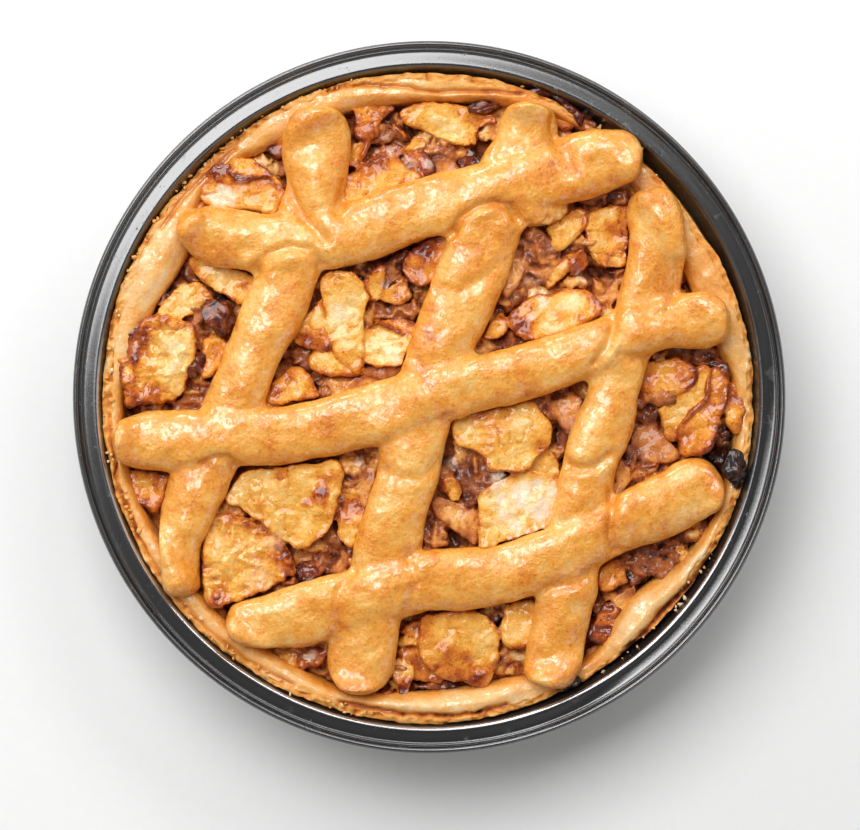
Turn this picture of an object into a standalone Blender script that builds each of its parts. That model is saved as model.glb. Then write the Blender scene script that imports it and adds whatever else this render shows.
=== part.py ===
"""A dutch apple pie in its own black steel tin.

The tin is turned from one sheet profile with a rolled edge. A shortcrust case lines it, with a
rim that is uneven all the way round. A domed apple filling fills the case, and the pieces of
apple that show are fused to it. Six hand-rolled ropes of dough lie over it, three by three, and
have baked together into one lattice. A few raisins lie on top.
Metres, +Z up. The origin is the middle of the tin's underside, and +Y is the back of the pie.
"""

import math
import random

import bmesh
import bpy
from mathutils import Euler, Matrix, Vector, noise

MM = 0.001
GAP = 0.4 * MM  # kept between pieces that touch
WELD = 0.01 * MM  # points nearer than this are one point
PIE_SIDES = 60  # faces round the turned shapes

# The tin: a sloping wall, a brim with a shallow channel, and a solid rolled bead at its edge.
TIN_HEIGHT = 40 * MM
TIN_SHEET = 0.9 * MM
TIN_FLOOR_RADIUS = 100.5 * MM
TIN_MOUTH_RADIUS = 111.6 * MM
TIN_CORNER = 4 * MM  # between the floor and the wall
TIN_CORNER_DIP = 0.2  # share of the corner that its middle point keeps
MOUTH_INSIDE = (0.5 * MM, 1.0 * MM)  # how far the mouth is rounded, outwards and down
MOUTH_OUTSIDE = (1.2 * MM, 2.2 * MM)
BRIM_CREST_RADIUS = 117.1 * MM
BRIM_DIP = 0.9 * MM
BEAD_RADIUS = 1.2 * MM
BEAD_DROP = 0.3 * MM  # its middle below the brim's crest
BEAD_TURNS = range(120, -121, -60)  # degrees
TIN_RADIUS = 120 * MM

# The pastry case. The rim's sizes are given at even steps round the pie, from +X towards +Y.
CASE_FLOOR = 6 * MM
CASE_WELL_RADIUS = 93 * MM
CASE_CORNER = 3 * MM  # between the floor and the wall
CASE_LEAVES_TIN = 30 * MM  # the height where the rim's outside leaves the tin's wall
RIM_OUTER = [108.3, 108.2, 107.4, 107.3, 107.8, 109.0, 109.0, 109.0, 109.4, 109.2, 109.8, 109.8,
             110.0, 110.0, 109.8, 110.0, 110.0, 109.8, 109.3, 108.8, 107.6, 106.9, 108.4, 108.5]
RIM_INNER = [103.0, 97.0, 96.0, 98.0, 103.5, 102.0, 99.5, 100.5, 99.5, 103.5, 95.0, 98.5,
             103.0, 104.5, 103.5, 103.5, 102.5, 103.5, 99.5, 98.8, 104.0, 98.5, 102.0, 103.5]
RIM_CREST = [36.0, 37.5, 38.0, 37.5, 35.0, 38.0, 38.5, 38.0, 37.0, 35.5, 38.5, 38.8,
             38.0, 37.5, 37.0, 37.2, 37.0, 37.5, 38.2, 38.2, 34.5, 38.2, 37.8, 36.0]
RIM_WOBBLE = 0.5 * MM
RIM_FOOT = 1 * MM  # how far below the filling's edge the rim begins
# The rim's section: (share of its width from the inside, how far below its crest).
RIM_SECTION = [
    (0.05, 3.2 * MM), (0.25, 0.7 * MM), (0.55, 0.0), (0.85, 0.9 * MM), (1.0, 2.6 * MM),
]

# The filling, and how deep a piece of apple reaches into it.
FILLING_EDGE = 30 * MM
FILLING_MIDDLE = 35 * MM
FILLING_DOME_RADIUS = 0.93 * TIN_MOUTH_RADIUS  # where it is down to its edge's height
FILLING_CORNER = 1.2 * MM
FILLING_RINGS = 9
FILLING_LUMPS = 1.0 * MM
FILLING_LUMP_SIZE = 14 * MM
FILLING_FACES = 3300  # before it is cut clear of the pastry
CHUNK_DEPTH = 9 * MM
CHUNK_BEVEL = 2 * MM
CHUNK_UNEVENNESS = 0.08  # of its length and width

# The ropes of dough: (x, y, width) in millimetres along the middle of each, tip to tip.
ROPES = {
    "west": [(-37, 98, 20), (-38, 84, 22), (-38, 70, 20), (-46, 45, 21), (-53, 29, 21),
             (-61, 10, 20), (-68, -9, 20), (-76, -26, 20), (-82, -40, 19), (-84, -54, 14),
             (-82, -67, 12)],
    "middle": [(33, 100, 19), (32, 87, 21), (27, 75, 22), (17, 50, 24), (10, 31, 24),
               (3, 14, 22), (-4, -10, 21), (-8.5, -30, 21), (-14, -50, 22), (-19, -68, 22),
               (-23, -87, 23), (-23, -100, 19)],
    "east": [(73, 71, 16), (76, 59, 19), (76, 45, 20), (73, 31, 20), (65, 12, 18),
             (60, -6, 19), (54, -24, 19), (50, -44, 20), (47, -62, 20), (44, -78, 20),
             (39, -98, 20)],
    "north": [(-84, 58, 15), (-74, 55, 21), (-58, 52, 20), (-42, 52, 20), (-26, 55.5, 21),
              (-8, 61.5, 21), (14, 67.5, 21), (32, 73, 20), (49, 77.5, 22), (62, 80, 21),
              (72.5, 79.5, 14)],
    "centre": [(-106, -14, 15), (-95, -15, 20), (-70, -14, 20), (-46, -12.5, 20), (-25, -8, 20),
               (-3, -0.5, 20), (20, 5.8, 19), (42, 11.5, 19), (60, 18.5, 19), (80, 25, 19),
               (101, 26, 18)],
    "south": [(-69, -75, 12), (-58, -76, 17), (-44, -74, 21), (-26, -68, 20), (-4, -63, 21),
              (22, -60, 21), (42, -53.5, 20), (62, -44.5, 19), (80, -35.5, 22), (98, -27, 20)],
    "flap": [(28, 66, 14), (38, 64, 11), (46.5, 64.5, 7)],
}
OVER = ("north", "centre", "south")  # these lie across the others
ROPE_RISE = 5.2 * MM  # a rope's middle above what it lies on
ROPE_HALF_HEIGHT = 6.4 * MM
ROPE_ROUND = 10.5 * MM  # half as wide as a rope before it sags flat
ROPE_SIDES = 20
TIP_BLUNTNESS = 0.04
BED_OVER_FILLING = 1.0 * MM
BED_UNDER_CREST = 1.5 * MM
BED_SLOPE = (6 * MM, 8 * MM)  # where it starts inside the rim, and how long it is
CROSSING_RISE = 1.6 * MM
CROSSING_REACH = 15 * MM
ROPE_STEP = 2.5 * MM
LATTICE_VOXEL = 1.7 * MM
LATTICE_SMOOTHING = 8
LATTICE_FACES = 3500
LATTICE_CUT_FACES = 1400

# The pieces of apple that show: (x, y, length, width, turn, taper, rise, tip, lean). Sizes are
# in millimetres and turns in degrees; rise is the top's height over the filling.
CHUNKS = [
    # the window at the west edge
    (-91, 12, 27, 25, -12, 0.9, 8.0, 2, -6), (-83, 32, 18, 10, 4, 0.8, 4.0, 4, 6),
    (-71, 41, 24, 8, -24, 0.6, 3.5, -3, 10), (-74, 15, 9, 12, 10, 0.8, 4.0, 6, 0),
    # the windows beside the top of the west rope
    (-62, 77, 25, 10, -12, 0.8, 5.5, -4, 10), (-62, 68, 21, 9, -4, 0.9, 3.5, 0, -8),
    (-51, 86, 10, 8, 70, 0.8, 4.5, 5, 5), (-24, 82, 14, 8, 60, 0.7, 3.0, 5, 5),
    (-19, 95, 16, 7, 6, 0.7, 4.0, 0, 12), (-12, 75, 30, 11, 16, 0.8, 4.0, 3, 8),
    (7, 91, 24, 13, 2, 0.8, 4.5, -3, 6), (6, 80, 13, 7, -5, 0.8, 2.0, 0, 0),
    (-10, 85, 10, 7, 20, 0.8, 2.0, 0, -6),
    # the corner between the middle rope and the north rope
    (47, 94, 10, 10, 30, 0.8, 4.0, 0, 6), (43.5, 97.5, 18, 5, -30, 0.7, 5.0, 0, 0),
    # the north-west window
    (-30, 26, 27, 12, 92, 0.8, 5.0, 4, 5), (-41, 26, 17, 9, 66, 0.8, 3.5, 0, -6),
    (-32, 11, 17, 8, 0, 0.9, 3.0, 0, 8), (-46, 4, 11, 9, 10, 0.8, 3.5, 0, 0),
    (-15, 17, 18, 13, 4, 0.8, 4.5, -4, 6), (-17, 40, 10, 10, 30, 0.7, 4.0, 5, 5),
    (-5, 45, 14, 11, 80, 0.8, 4.5, 5, 0), (-14, 29, 16, 8, 6, 0.8, 3.0, 0, -8),
    (-29, 42, 13, 7, 10, 0.8, 2.5, 0, 10),
    # the north-east window
    (43, 57, 20, 8, 16, 0.7, 2.5, 6, 8), (37, 47, 13, 12, 10, 0.8, 2.0, 0, -5),
    (56, 54, 18, 9, 80, 0.8, 2.0, 5, 0), (62, 58, 13, 8, 84, 0.8, 3.0, 0, -4),
    (63, 46, 7, 7, 10, 0.9, 3.5, 0, 0), (33, 28, 13, 13, 20, 0.8, 5.0, 5, 6),
    (47, 29, 16, 12, 12, 0.8, 4.5, 0, 4), (48, 39, 12, 8, -10, 0.8, 3.0, 0, 6),
    (20, 22, 14, 7, 46, 0.7, 3.0, 0, 6),
    # the window at the east edge
    (80, 5, 18, 11, 0, 0.8, 3.5, 0, 6), (96, 0, 22, 10, 66, 0.8, 6.5, 4, 5),
    (85, -6, 19, 10, 62, 0.7, 4.5, 5, 4), (75, -15, 13, 12, -30, 0.8, 2.5, 0, -8),
    (67, -27, 10, 8, 60, 0.8, 3.0, 0, 0), (88, -46, 20, 7, 12, 0.7, 3.0, 0, 8),
    # the south window
    (27, -13, 29, 19, -6, 0.85, 5.0, -3, 4), (31, -38, 25, 20, 6, 0.9, 5.0, 0, -5),
    (14, -23, 13, 9, 84, 0.8, 2.5, 0, 5), (10, -41, 18, 8, -36, 0.7, 2.5, 3, 6),
    (46, -6, 12, 8, 80, 0.8, 3.0, 0, 0),
    # the south-west window
    (-47, -35, 33, 22, -12, 0.8, 5.0, 0, 5), (-62, -55, 28, 22, -24, 0.85, 6.0, 0, 8),
    (-27, -37, 14, 9, 70, 0.8, 3.0, 0, 4), (-35, -53, 12, 9, 10, 0.8, 2.0, 0, 6),
    (-96, -31, 12, 11, -40, 0.8, 3.5, 0, 0), (-43, -89, 12, 8, 0, 0.8, 3.0, 0, 4),
    # the windows at the south edge
    (6, -86, 30, 21, -8, 0.85, 5.5, -3, 5), (30, -77, 13, 10, 80, 0.8, 4.0, 0, 4),
    (-9, -95, 13, 7, -80, 0.7, 4.5, 0, 0), (61, -78, 16, 10, 76, 0.8, 4.0, 0, 4),
    (61, -60, 9, 8, 60, 0.8, 3.0, 0, 0), (76, -57, 13, 10, 20, 0.8, 3.5, 0, 4),
    (52.5, -89.5, 10, 5, 60, 0.7, 5.5, 0, 0),
]

# The raisins: (x, y, length, width, height, turn, lowest point), millimetres and degrees.
RAISINS = [
    (-71, 27, 13, 10, 7, -50, 33.2),
    (-80, 11, 9, 6, 5, 80, 34.5),
    (18, 98.2, 11, 5, 5, 12, 32.5),
    (103.2, -24, 13, 8, 7, -82, 34.0),
    (47, -96.6, 9, 4.5, 5, 24, 34.5),
]
RAISIN_WRINKLES = 0.16
RAISIN_WRINKLE_COUNT = 6

COLOURS = {
    "tin": ((0.018, 0.018, 0.020), 0.35, 0.6),
    "pastry": ((0.72, 0.42, 0.16), 0.55, 0.0),
    "dough": ((0.76, 0.42, 0.12), 0.35, 0.0),
    "apple": ((0.62, 0.27, 0.06), 0.30, 0.0),
    "raisin": ((0.05, 0.018, 0.010), 0.30, 0.0),
}


# ---------------------------------------------------------------- scene, materials and meshes


def clear_scene():
    for old in list(bpy.data.objects):
        bpy.data.objects.remove(old, do_unlink=True)


def new_collection(name):
    collection = bpy.data.collections.new(name)
    bpy.context.scene.collection.children.link(collection)
    return collection


def material(name):
    colour, roughness, metallic = COLOURS[name]
    made = bpy.data.materials.new(name)
    made.use_nodes = True
    shader = made.node_tree.nodes["Principled BSDF"]
    shader.inputs["Base Color"].default_value = (*colour, 1)
    shader.inputs["Roughness"].default_value = roughness
    shader.inputs["Metallic"].default_value = metallic
    made.diffuse_color = (*colour, 1)
    return made


def object_from(mesh, name, collection):
    made = bpy.data.objects.new(name, mesh)
    collection.objects.link(made)
    return made


def object_from_bmesh(shape, name, collection):
    """The bmesh as an object, in triangles, so that a grown copy has the same faces."""
    bmesh.ops.recalc_face_normals(shape, faces=shape.faces)
    bmesh.ops.triangulate(shape, faces=shape.faces)
    mesh = bpy.data.meshes.new(name)
    shape.to_mesh(mesh)
    shape.free()
    return object_from(mesh, name, collection)


def apply_modifiers(target):
    """Makes what the object's modifiers give its own mesh."""
    bpy.context.view_layer.update()
    graph = bpy.context.evaluated_depsgraph_get()
    mesh = bpy.data.meshes.new_from_object(target.evaluated_get(graph))
    target.modifiers.clear()
    old = target.data
    target.data = mesh
    bpy.data.meshes.remove(old)


def remove(target):
    bpy.data.objects.remove(target, do_unlink=True)


def fewer_faces(target, most):
    """Merges the smallest faces until about that many are left."""
    count = sum(len(face.vertices) - 2 for face in target.data.polygons)
    fewer = target.modifiers.new("fewer", "DECIMATE")
    fewer.ratio = min(1, most / count)
    fewer.use_collapse_triangulate = True
    apply_modifiers(target)


def grown_copy(source, by, collection):
    """A copy whose surface stands out by that much, to cut with."""
    copy = object_from(source.data.copy(), source.name + "_grown", collection)
    swell = copy.modifiers.new("swell", "DISPLACE")
    swell.strength = by
    swell.mid_level = 0
    apply_modifiers(copy)
    return copy


def boolean(target, operation, collection):
    """Applies one Boolean with every object of the collection, and removes those. The exact
    solver leaves the many overlapping chunks open, so all of these use the manifold one."""
    change = target.modifiers.new(operation.lower(), "BOOLEAN")
    change.operation = operation
    change.operand_type = "COLLECTION"
    change.collection = collection
    change.solver = "MANIFOLD"
    apply_modifiers(target)
    for used in list(collection.objects):
        remove(used)


def keep_largest_island(target):
    """Drops loose scraps and the walls of sealed hollows."""
    shape = bmesh.new()
    shape.from_mesh(target.data)
    left = set(shape.verts)
    islands = []
    while left:
        start = left.pop()
        island = {start}
        to_visit = [start]
        while to_visit:
            for edge in to_visit.pop().link_edges:
                for vertex in edge.verts:
                    if vertex in left:
                        left.remove(vertex)
                        island.add(vertex)
                        to_visit.append(vertex)
        islands.append(island)
    islands.sort(key=len, reverse=True)
    for island in islands[1:]:
        bmesh.ops.delete(shape, geom=list(island), context="VERTS")
    shape.to_mesh(target.data)
    shape.free()


def cut_clear(target, neighbours, cutters):
    """Cuts the target back to a small gap from each neighbour."""
    for neighbour in neighbours:
        grown_copy(neighbour, GAP, cutters)
        boolean(target, "DIFFERENCE", cutters)
    keep_largest_island(target)


def shade(target, finish, smooth_angle=math.radians(40)):
    """Gives the object its material, and smooth faces but for edges sharper than the angle."""
    target.data.materials.clear()
    target.data.materials.append(finish)
    target.data.shade_smooth()
    target.data.set_sharp_from_angle(angle=smooth_angle)


# ---------------------------------------------------------------- smooth curves through values


def spline(before, start, end, after, share):
    """Catmull-Rom between start and end."""
    return start + share * 0.5 * (
        (end - before)
        + share * (2 * before - 5 * start + 4 * end - after)
        + share * share * (3 * (start - end) + after - before)
    )


def around(values, angle):
    """The value at an angle, of values given in millimetres at even steps round the pie."""
    place = angle / math.tau % 1 * len(values)
    first = int(place)
    near = [values[(first + step) % len(values)] for step in (-1, 0, 1, 2)]
    return spline(*near, place - first) * MM


def smooth_path(points, step):
    """Vectors (x, y, width) at even steps along the smooth line through the points."""
    rows = [Vector(point) * MM for point in points]
    rows = [2 * rows[0] - rows[1], *rows, 2 * rows[-1] - rows[-2]]
    fine = []
    for before, start, end, after in zip(rows, rows[1:], rows[2:], rows[3:]):
        pieces = max(2, round((end - start).length / step))
        fine += [spline(before, start, end, after, piece / pieces) for piece in range(pieces)]
    fine.append(rows[-2])
    return fine


# ---------------------------------------------------------------- heights of what lies where


def tin_wall(height):
    """The tin's inner radius at a height."""
    share = height / TIN_HEIGHT
    return TIN_FLOOR_RADIUS + (TIN_MOUTH_RADIUS - TIN_FLOOR_RADIUS) * share


def case_inside(angle, height):
    """The case's inner radius, from a round well at its floor to the uneven rim."""
    low = TIN_SHEET + CASE_FLOOR
    share = min(1, max(0, (height - low) / (FILLING_EDGE - low)))
    return CASE_WELL_RADIUS + (around(RIM_INNER, angle) - CASE_WELL_RADIUS) * share


def filling_height(x, y):
    """The top of the filling, without its lumps."""
    share = math.hypot(x, y) / FILLING_DOME_RADIUS
    return FILLING_MIDDLE - (FILLING_MIDDLE - FILLING_EDGE) * min(1, share * share)


def bed_height(x, y):
    """The top of what a rope lies on: the filling, and the case's rim near the edge."""
    angle = math.atan2(y, x)
    start, length = BED_SLOPE
    past = math.hypot(x, y) - around(RIM_INNER, angle) + start
    share = min(1, max(0, past / length))
    share = share * share * (3 - 2 * share)
    rim = around(RIM_CREST, angle) - BED_UNDER_CREST
    middle = filling_height(x, y) + BED_OVER_FILLING
    return middle + (rim - middle) * share


# ---------------------------------------------------------------- the tin


def make_tin(collection):
    low_brim = TIN_HEIGHT - TIN_SHEET
    channel = (TIN_MOUTH_RADIUS + BRIM_CREST_RADIUS) / 2
    mouth_out, mouth_down = MOUTH_INSIDE
    inside = [
        (0, TIN_SHEET),
        (TIN_FLOOR_RADIUS - TIN_CORNER, TIN_SHEET),
        (TIN_FLOOR_RADIUS - TIN_CORNER * TIN_CORNER_DIP, TIN_SHEET + TIN_CORNER * TIN_CORNER_DIP),
        (tin_wall(TIN_CORNER), TIN_CORNER),
        (tin_wall(TIN_HEIGHT - mouth_down), TIN_HEIGHT - mouth_down),
        (TIN_MOUTH_RADIUS + mouth_out, TIN_HEIGHT),
        (channel, TIN_HEIGHT - BRIM_DIP),
        (BRIM_CREST_RADIUS, TIN_HEIGHT),
    ]
    bead = []
    for turn in BEAD_TURNS:
        angle = math.radians(turn)
        bead.append((
            TIN_RADIUS - BEAD_RADIUS + BEAD_RADIUS * math.cos(angle),
            TIN_HEIGHT - BEAD_DROP + BEAD_RADIUS * math.sin(angle),
        ))
    mouth_out, mouth_down = MOUTH_OUTSIDE
    outside = [
        (BRIM_CREST_RADIUS, low_brim),
        (channel, low_brim - BRIM_DIP),
        (TIN_MOUTH_RADIUS + mouth_out, low_brim),
        (tin_wall(TIN_HEIGHT - mouth_down) + TIN_SHEET, TIN_HEIGHT - mouth_down),
        (tin_wall(TIN_CORNER) + TIN_SHEET, TIN_CORNER),
        (TIN_FLOOR_RADIUS + TIN_SHEET - TIN_CORNER * TIN_CORNER_DIP, TIN_CORNER * TIN_CORNER_DIP),
        (TIN_FLOOR_RADIUS + TIN_SHEET - TIN_CORNER, 0),
        (0, 0),
    ]
    profile = inside + bead + outside
    mesh = bpy.data.meshes.new("tin")
    edges = [(index, index + 1) for index in range(len(profile) - 1)]
    mesh.from_pydata([(radius, 0, height) for radius, height in profile], edges, [])
    tin = object_from(mesh, "tin", collection)
    turned = tin.modifiers.new("turned", "SCREW")
    turned.steps = PIE_SIDES
    turned.render_steps = PIE_SIDES
    turned.use_merge_vertices = True
    turned.merge_threshold = WELD
    apply_modifiers(tin)
    shade(tin, material("tin"))
    return tin


# ---------------------------------------------------------------- the case and the filling


def ring_solid(name, section, collection):
    """A closed body whose section, a list of (radius, height) from axis to axis, turns with
    the angle: its first and last points are the middles of the top and of the underside."""
    shape = bmesh.new()
    rings = []
    for side in range(PIE_SIDES):
        angle = math.tau * side / PIE_SIDES
        points = section(angle)
        out = Vector((math.cos(angle), math.sin(angle), 0))
        rings.append([shape.verts.new(out * radius + Vector((0, 0, z))) for radius, z in points])
    for ring, following in zip(rings, rings[1:] + rings[:1]):
        for level in range(len(ring) - 1):
            shape.faces.new((ring[level], ring[level + 1], following[level + 1], following[level]))
    bmesh.ops.remove_doubles(shape, verts=shape.verts, dist=WELD)
    return object_from_bmesh(shape, name, collection)


def case_section(angle):
    """The case cut at an angle, from the middle of its floor over the rim to its underside."""
    floor = TIN_SHEET + GAP
    low = floor + CASE_FLOOR
    crest = around(RIM_CREST, angle) + RIM_WOBBLE * noise.noise((3 * math.cos(angle * 7), angle, 0))
    lip = crest - RIM_SECTION[-1][1]
    outer = min(around(RIM_OUTER, angle), tin_wall(lip) - GAP)
    inner = around(RIM_INNER, angle)
    rim = [(inner + (outer - inner) * share, crest - drop) for share, drop in RIM_SECTION]
    return [
        (0, low),
        (CASE_WELL_RADIUS - CASE_CORNER, low),
        (case_inside(angle, low + CASE_CORNER), low + CASE_CORNER),
        (inner, FILLING_EDGE - RIM_FOOT),
        *rim,
        (tin_wall(CASE_LEAVES_TIN) - GAP, CASE_LEAVES_TIN),
        (tin_wall(floor + TIN_CORNER) - GAP, floor + TIN_CORNER),
        (TIN_FLOOR_RADIUS - TIN_CORNER, floor),
        (0, floor),
    ]


def make_case(collection):
    case = ring_solid("pastry_case", case_section, collection)
    shade(case, material("pastry"))
    return case


def filling_section(angle):
    """The filling cut at an angle, from the middle of its lumpy top to its underside."""
    low = TIN_SHEET + GAP + CASE_FLOOR + GAP
    corner = low + CASE_CORNER
    edge = case_inside(angle, FILLING_EDGE) - GAP
    points = []
    for ring in range(FILLING_RINGS + 1):
        radius = edge * ring / FILLING_RINGS
        x = radius * math.cos(angle)
        y = radius * math.sin(angle)
        lump = FILLING_LUMPS * noise.noise(Vector((x, y, 0)) / FILLING_LUMP_SIZE)
        points.append((radius, filling_height(x, y) + lump))
    return [
        *points,
        (edge, FILLING_EDGE - FILLING_CORNER),
        (case_inside(angle, corner) - GAP, corner),
        (CASE_WELL_RADIUS - CASE_CORNER - GAP, low),
        (0, low),
    ]


def apple_chunk(name, row, collection):
    """A cut piece of apple: a bevelled block, narrower at one end, tipped and turned."""
    x, y, length, width, turn, taper, rise, tip, lean = row
    shape = bmesh.new()
    bmesh.ops.create_cube(shape, size=1)
    size = Vector((length * MM, width * MM, CHUNK_DEPTH))
    for vertex in shape.verts:
        end = 0.5 + vertex.co.x
        vertex.co.y *= taper + (1 - taper) * 2 * end
        vertex.co = vertex.co * size
        vertex.co.x += CHUNK_UNEVENNESS * length * MM * random.uniform(-1, 1)
        vertex.co.y += CHUNK_UNEVENNESS * width * MM * random.uniform(-1, 1)
    bmesh.ops.bevel(
        shape, geom=shape.edges, offset=CHUNK_BEVEL, segments=1, profile=0.5, affect="EDGES"
    )
    facing = Euler((math.radians(lean), math.radians(tip), math.radians(turn)), "XYZ")
    top = filling_height(x * MM, y * MM) + rise * MM
    place = Matrix.Translation((x * MM, y * MM, top - CHUNK_DEPTH / 2))
    bmesh.ops.transform(shape, matrix=place @ facing.to_matrix().to_4x4(), verts=shape.verts)
    return object_from_bmesh(shape, name, collection)


def make_filling(collection, pieces, cutters, above):
    """The core with its apple fused on, cut clear of the case, the ropes and the raisins."""
    filling = ring_solid("apple_filling", filling_section, collection)
    for index, row in enumerate(CHUNKS):
        apple_chunk(f"chunk_{index}", row, pieces)
    boolean(filling, "UNION", pieces)
    keep_largest_island(filling)
    fewer_faces(filling, FILLING_FACES)
    cut_clear(filling, above, cutters)
    shade(filling, material("apple"))
    return filling


# ---------------------------------------------------------------- the lattice


def rope_section(collection):
    """A flat ellipse, two units wide, which a rope's curve sweeps along itself."""
    data = bpy.data.curves.new("rope_section", "CURVE")
    line = data.splines.new("POLY")
    line.points.add(ROPE_SIDES - 1)
    for index, point in enumerate(line.points):
        angle = math.tau * index / ROPE_SIDES
        point.co = (math.cos(angle), math.sin(angle), 0, 1)
    line.use_cyclic_u = True
    section = object_from(data, "rope_section", collection)
    section.hide_render = True
    return section


def crossing_rise(name, x, y, paths):
    """How much a rope lifts, or sinks, where another one crosses it."""
    nearest = min(
        math.hypot(x - point.x, y - point.y)
        for other, path in paths.items()
        if (other in OVER) != (name in OVER)
        for point in path
    )
    height = CROSSING_RISE * math.exp(-((nearest / CROSSING_REACH) ** 2))
    return height if name in OVER else -height


def make_rope(name, paths, guides, collection):
    """One rolled rope: a curve with round ends, made a mesh that lies along the bed."""
    path = paths[name]
    lengths = [0.0]
    for point, following in zip(path, path[1:]):
        lengths.append(lengths[-1] + (following - point).to_2d().length)
    data = bpy.data.curves.new(name, "CURVE")
    data.dimensions = "3D"
    data.twist_mode = "Z_UP"
    data.bevel_mode = "OBJECT"
    data.bevel_object = guides
    data.use_fill_caps = True
    line = data.splines.new("POLY")
    line.points.add(len(path) - 1)
    for point, spot, along in zip(line.points, path, lengths):
        half = spot.z / 2
        from_tip = min(along, lengths[-1] - along) / half
        rounded = math.sqrt(max(TIP_BLUNTNESS, 1 - max(0, 1 - from_tip) ** 2))
        point.co = (spot.x, spot.y, 0, 1)
        point.radius = half * rounded
    rope = object_from(data, name, collection)
    bpy.context.view_layer.update()
    graph = bpy.context.evaluated_depsgraph_get()
    mesh = bpy.data.meshes.new_from_object(rope.evaluated_get(graph))
    remove(rope)
    shape = bmesh.new()
    shape.from_mesh(mesh)
    bmesh.ops.remove_doubles(shape, verts=shape.verts, dist=WELD)
    for vertex in shape.verts:
        x, y, z = vertex.co
        flat = ROPE_HALF_HEIGHT / max(abs(z), ROPE_ROUND)
        height = bed_height(x, y) + ROPE_RISE + crossing_rise(name, x, y, paths)
        vertex.co.z = height + z * flat
    return object_from_bmesh(shape, name, collection)


def make_lattice(collection, ropes, cutters, case):
    """The ropes joined into one body with soft joints, then cut clear of the case."""
    section = rope_section(cutters)
    paths = {name: smooth_path(points, ROPE_STEP) for name, points in ROPES.items()}
    shape = bmesh.new()
    for name in ROPES:
        rope = make_rope(name, paths, section, ropes)
        shape.from_mesh(rope.data)
        remove(rope)
    remove(section)
    lattice = object_from_bmesh(shape, "lattice", collection)
    fused = lattice.modifiers.new("fused", "REMESH")
    fused.mode = "VOXEL"
    fused.voxel_size = LATTICE_VOXEL
    soft = lattice.modifiers.new("soft", "SMOOTH")
    soft.iterations = LATTICE_SMOOTHING
    apply_modifiers(lattice)
    fewer_faces(lattice, LATTICE_FACES)
    cut_clear(lattice, [case], cutters)
    shade(lattice, material("dough"))
    return lattice


# ---------------------------------------------------------------- the raisins


def make_raisin(number, row, finish, collection):
    """A baked raisin: a flattened ball with wrinkles."""
    x, y, length, width, height, turn, low = row
    shape = bmesh.new()
    bmesh.ops.create_icosphere(shape, subdivisions=2, radius=0.5)
    for vertex in shape.verts:
        fold = noise.noise(vertex.co * RAISIN_WRINKLE_COUNT + Vector((number * 5, 0, 0)))
        vertex.co *= 1 + RAISIN_WRINKLES * fold
    size = Matrix.Diagonal((length * MM, width * MM, height * MM, 1))
    facing = Matrix.Rotation(math.radians(turn), 4, "Z")
    place = Matrix.Translation((x * MM, y * MM, (low + height / 2) * MM))
    bmesh.ops.transform(shape, matrix=place @ facing @ size, verts=shape.verts)
    raisin = object_from_bmesh(shape, f"raisin_{number}", collection)
    shade(raisin, finish, math.pi)
    return raisin


# ---------------------------------------------------------------- the pie


def main():
    random.seed(7)
    clear_scene()
    pie = new_collection("dutch_apple_pie")
    pieces = new_collection("pieces")
    cutters = new_collection("cutters")
    make_tin(pie)
    case = make_case(pie)
    lattice = make_lattice(pie, pieces, cutters, case)
    finish = material("raisin")
    raisins = [make_raisin(number, row, finish, pie) for number, row in enumerate(RAISINS, 1)]
    for raisin in raisins:
        cut_clear(raisin, [lattice], cutters)
    cut_clear(case, raisins, cutters)
    shade(case, case.data.materials[0])
    plain_lattice = grown_copy(lattice, GAP, pie)
    fewer_faces(plain_lattice, LATTICE_CUT_FACES)
    make_filling(pie, pieces, cutters, [case, plain_lattice, *raisins])
    remove(plain_lattice)
    bpy.data.collections.remove(pieces)
    bpy.data.collections.remove(cutters)


main()
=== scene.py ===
import math

import bpy
import numpy as np
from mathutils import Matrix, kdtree


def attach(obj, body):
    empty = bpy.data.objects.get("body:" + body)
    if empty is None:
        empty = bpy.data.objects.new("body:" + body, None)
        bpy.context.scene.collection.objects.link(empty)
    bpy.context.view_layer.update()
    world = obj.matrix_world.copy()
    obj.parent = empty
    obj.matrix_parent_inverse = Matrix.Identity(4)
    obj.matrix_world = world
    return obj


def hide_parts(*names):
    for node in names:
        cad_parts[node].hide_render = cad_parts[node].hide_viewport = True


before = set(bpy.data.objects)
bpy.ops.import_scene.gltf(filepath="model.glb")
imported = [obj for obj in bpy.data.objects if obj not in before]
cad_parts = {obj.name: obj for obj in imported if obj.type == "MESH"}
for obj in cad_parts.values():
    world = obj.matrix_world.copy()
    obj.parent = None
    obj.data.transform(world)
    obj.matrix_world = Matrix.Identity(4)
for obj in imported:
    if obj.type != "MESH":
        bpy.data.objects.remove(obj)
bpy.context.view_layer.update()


# ------------------------------------------------------------------ the tin
# One sheet of black steel with a baked-on coating, pressed to a round pan. Its brim falls to a
# shallow channel, rises to a ridge and is rolled over a wire at the edge. It is turned here.

TIN_SIDES = 288
# Use has bent the brim's outer third up a little at the front right: the angles in degrees
# between which the bend grows and fades, where the third begins, its width and its slope.
BEND_GROWS = (-68, -52)
BEND_FADES = (-12, 8)
BEND_RADIUS = 113.9
BEND_WIDTH = 2.7
BEND_SLOPE = 0.40
UNDER_BRIM = 39  # what lies lower isn't bent
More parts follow.
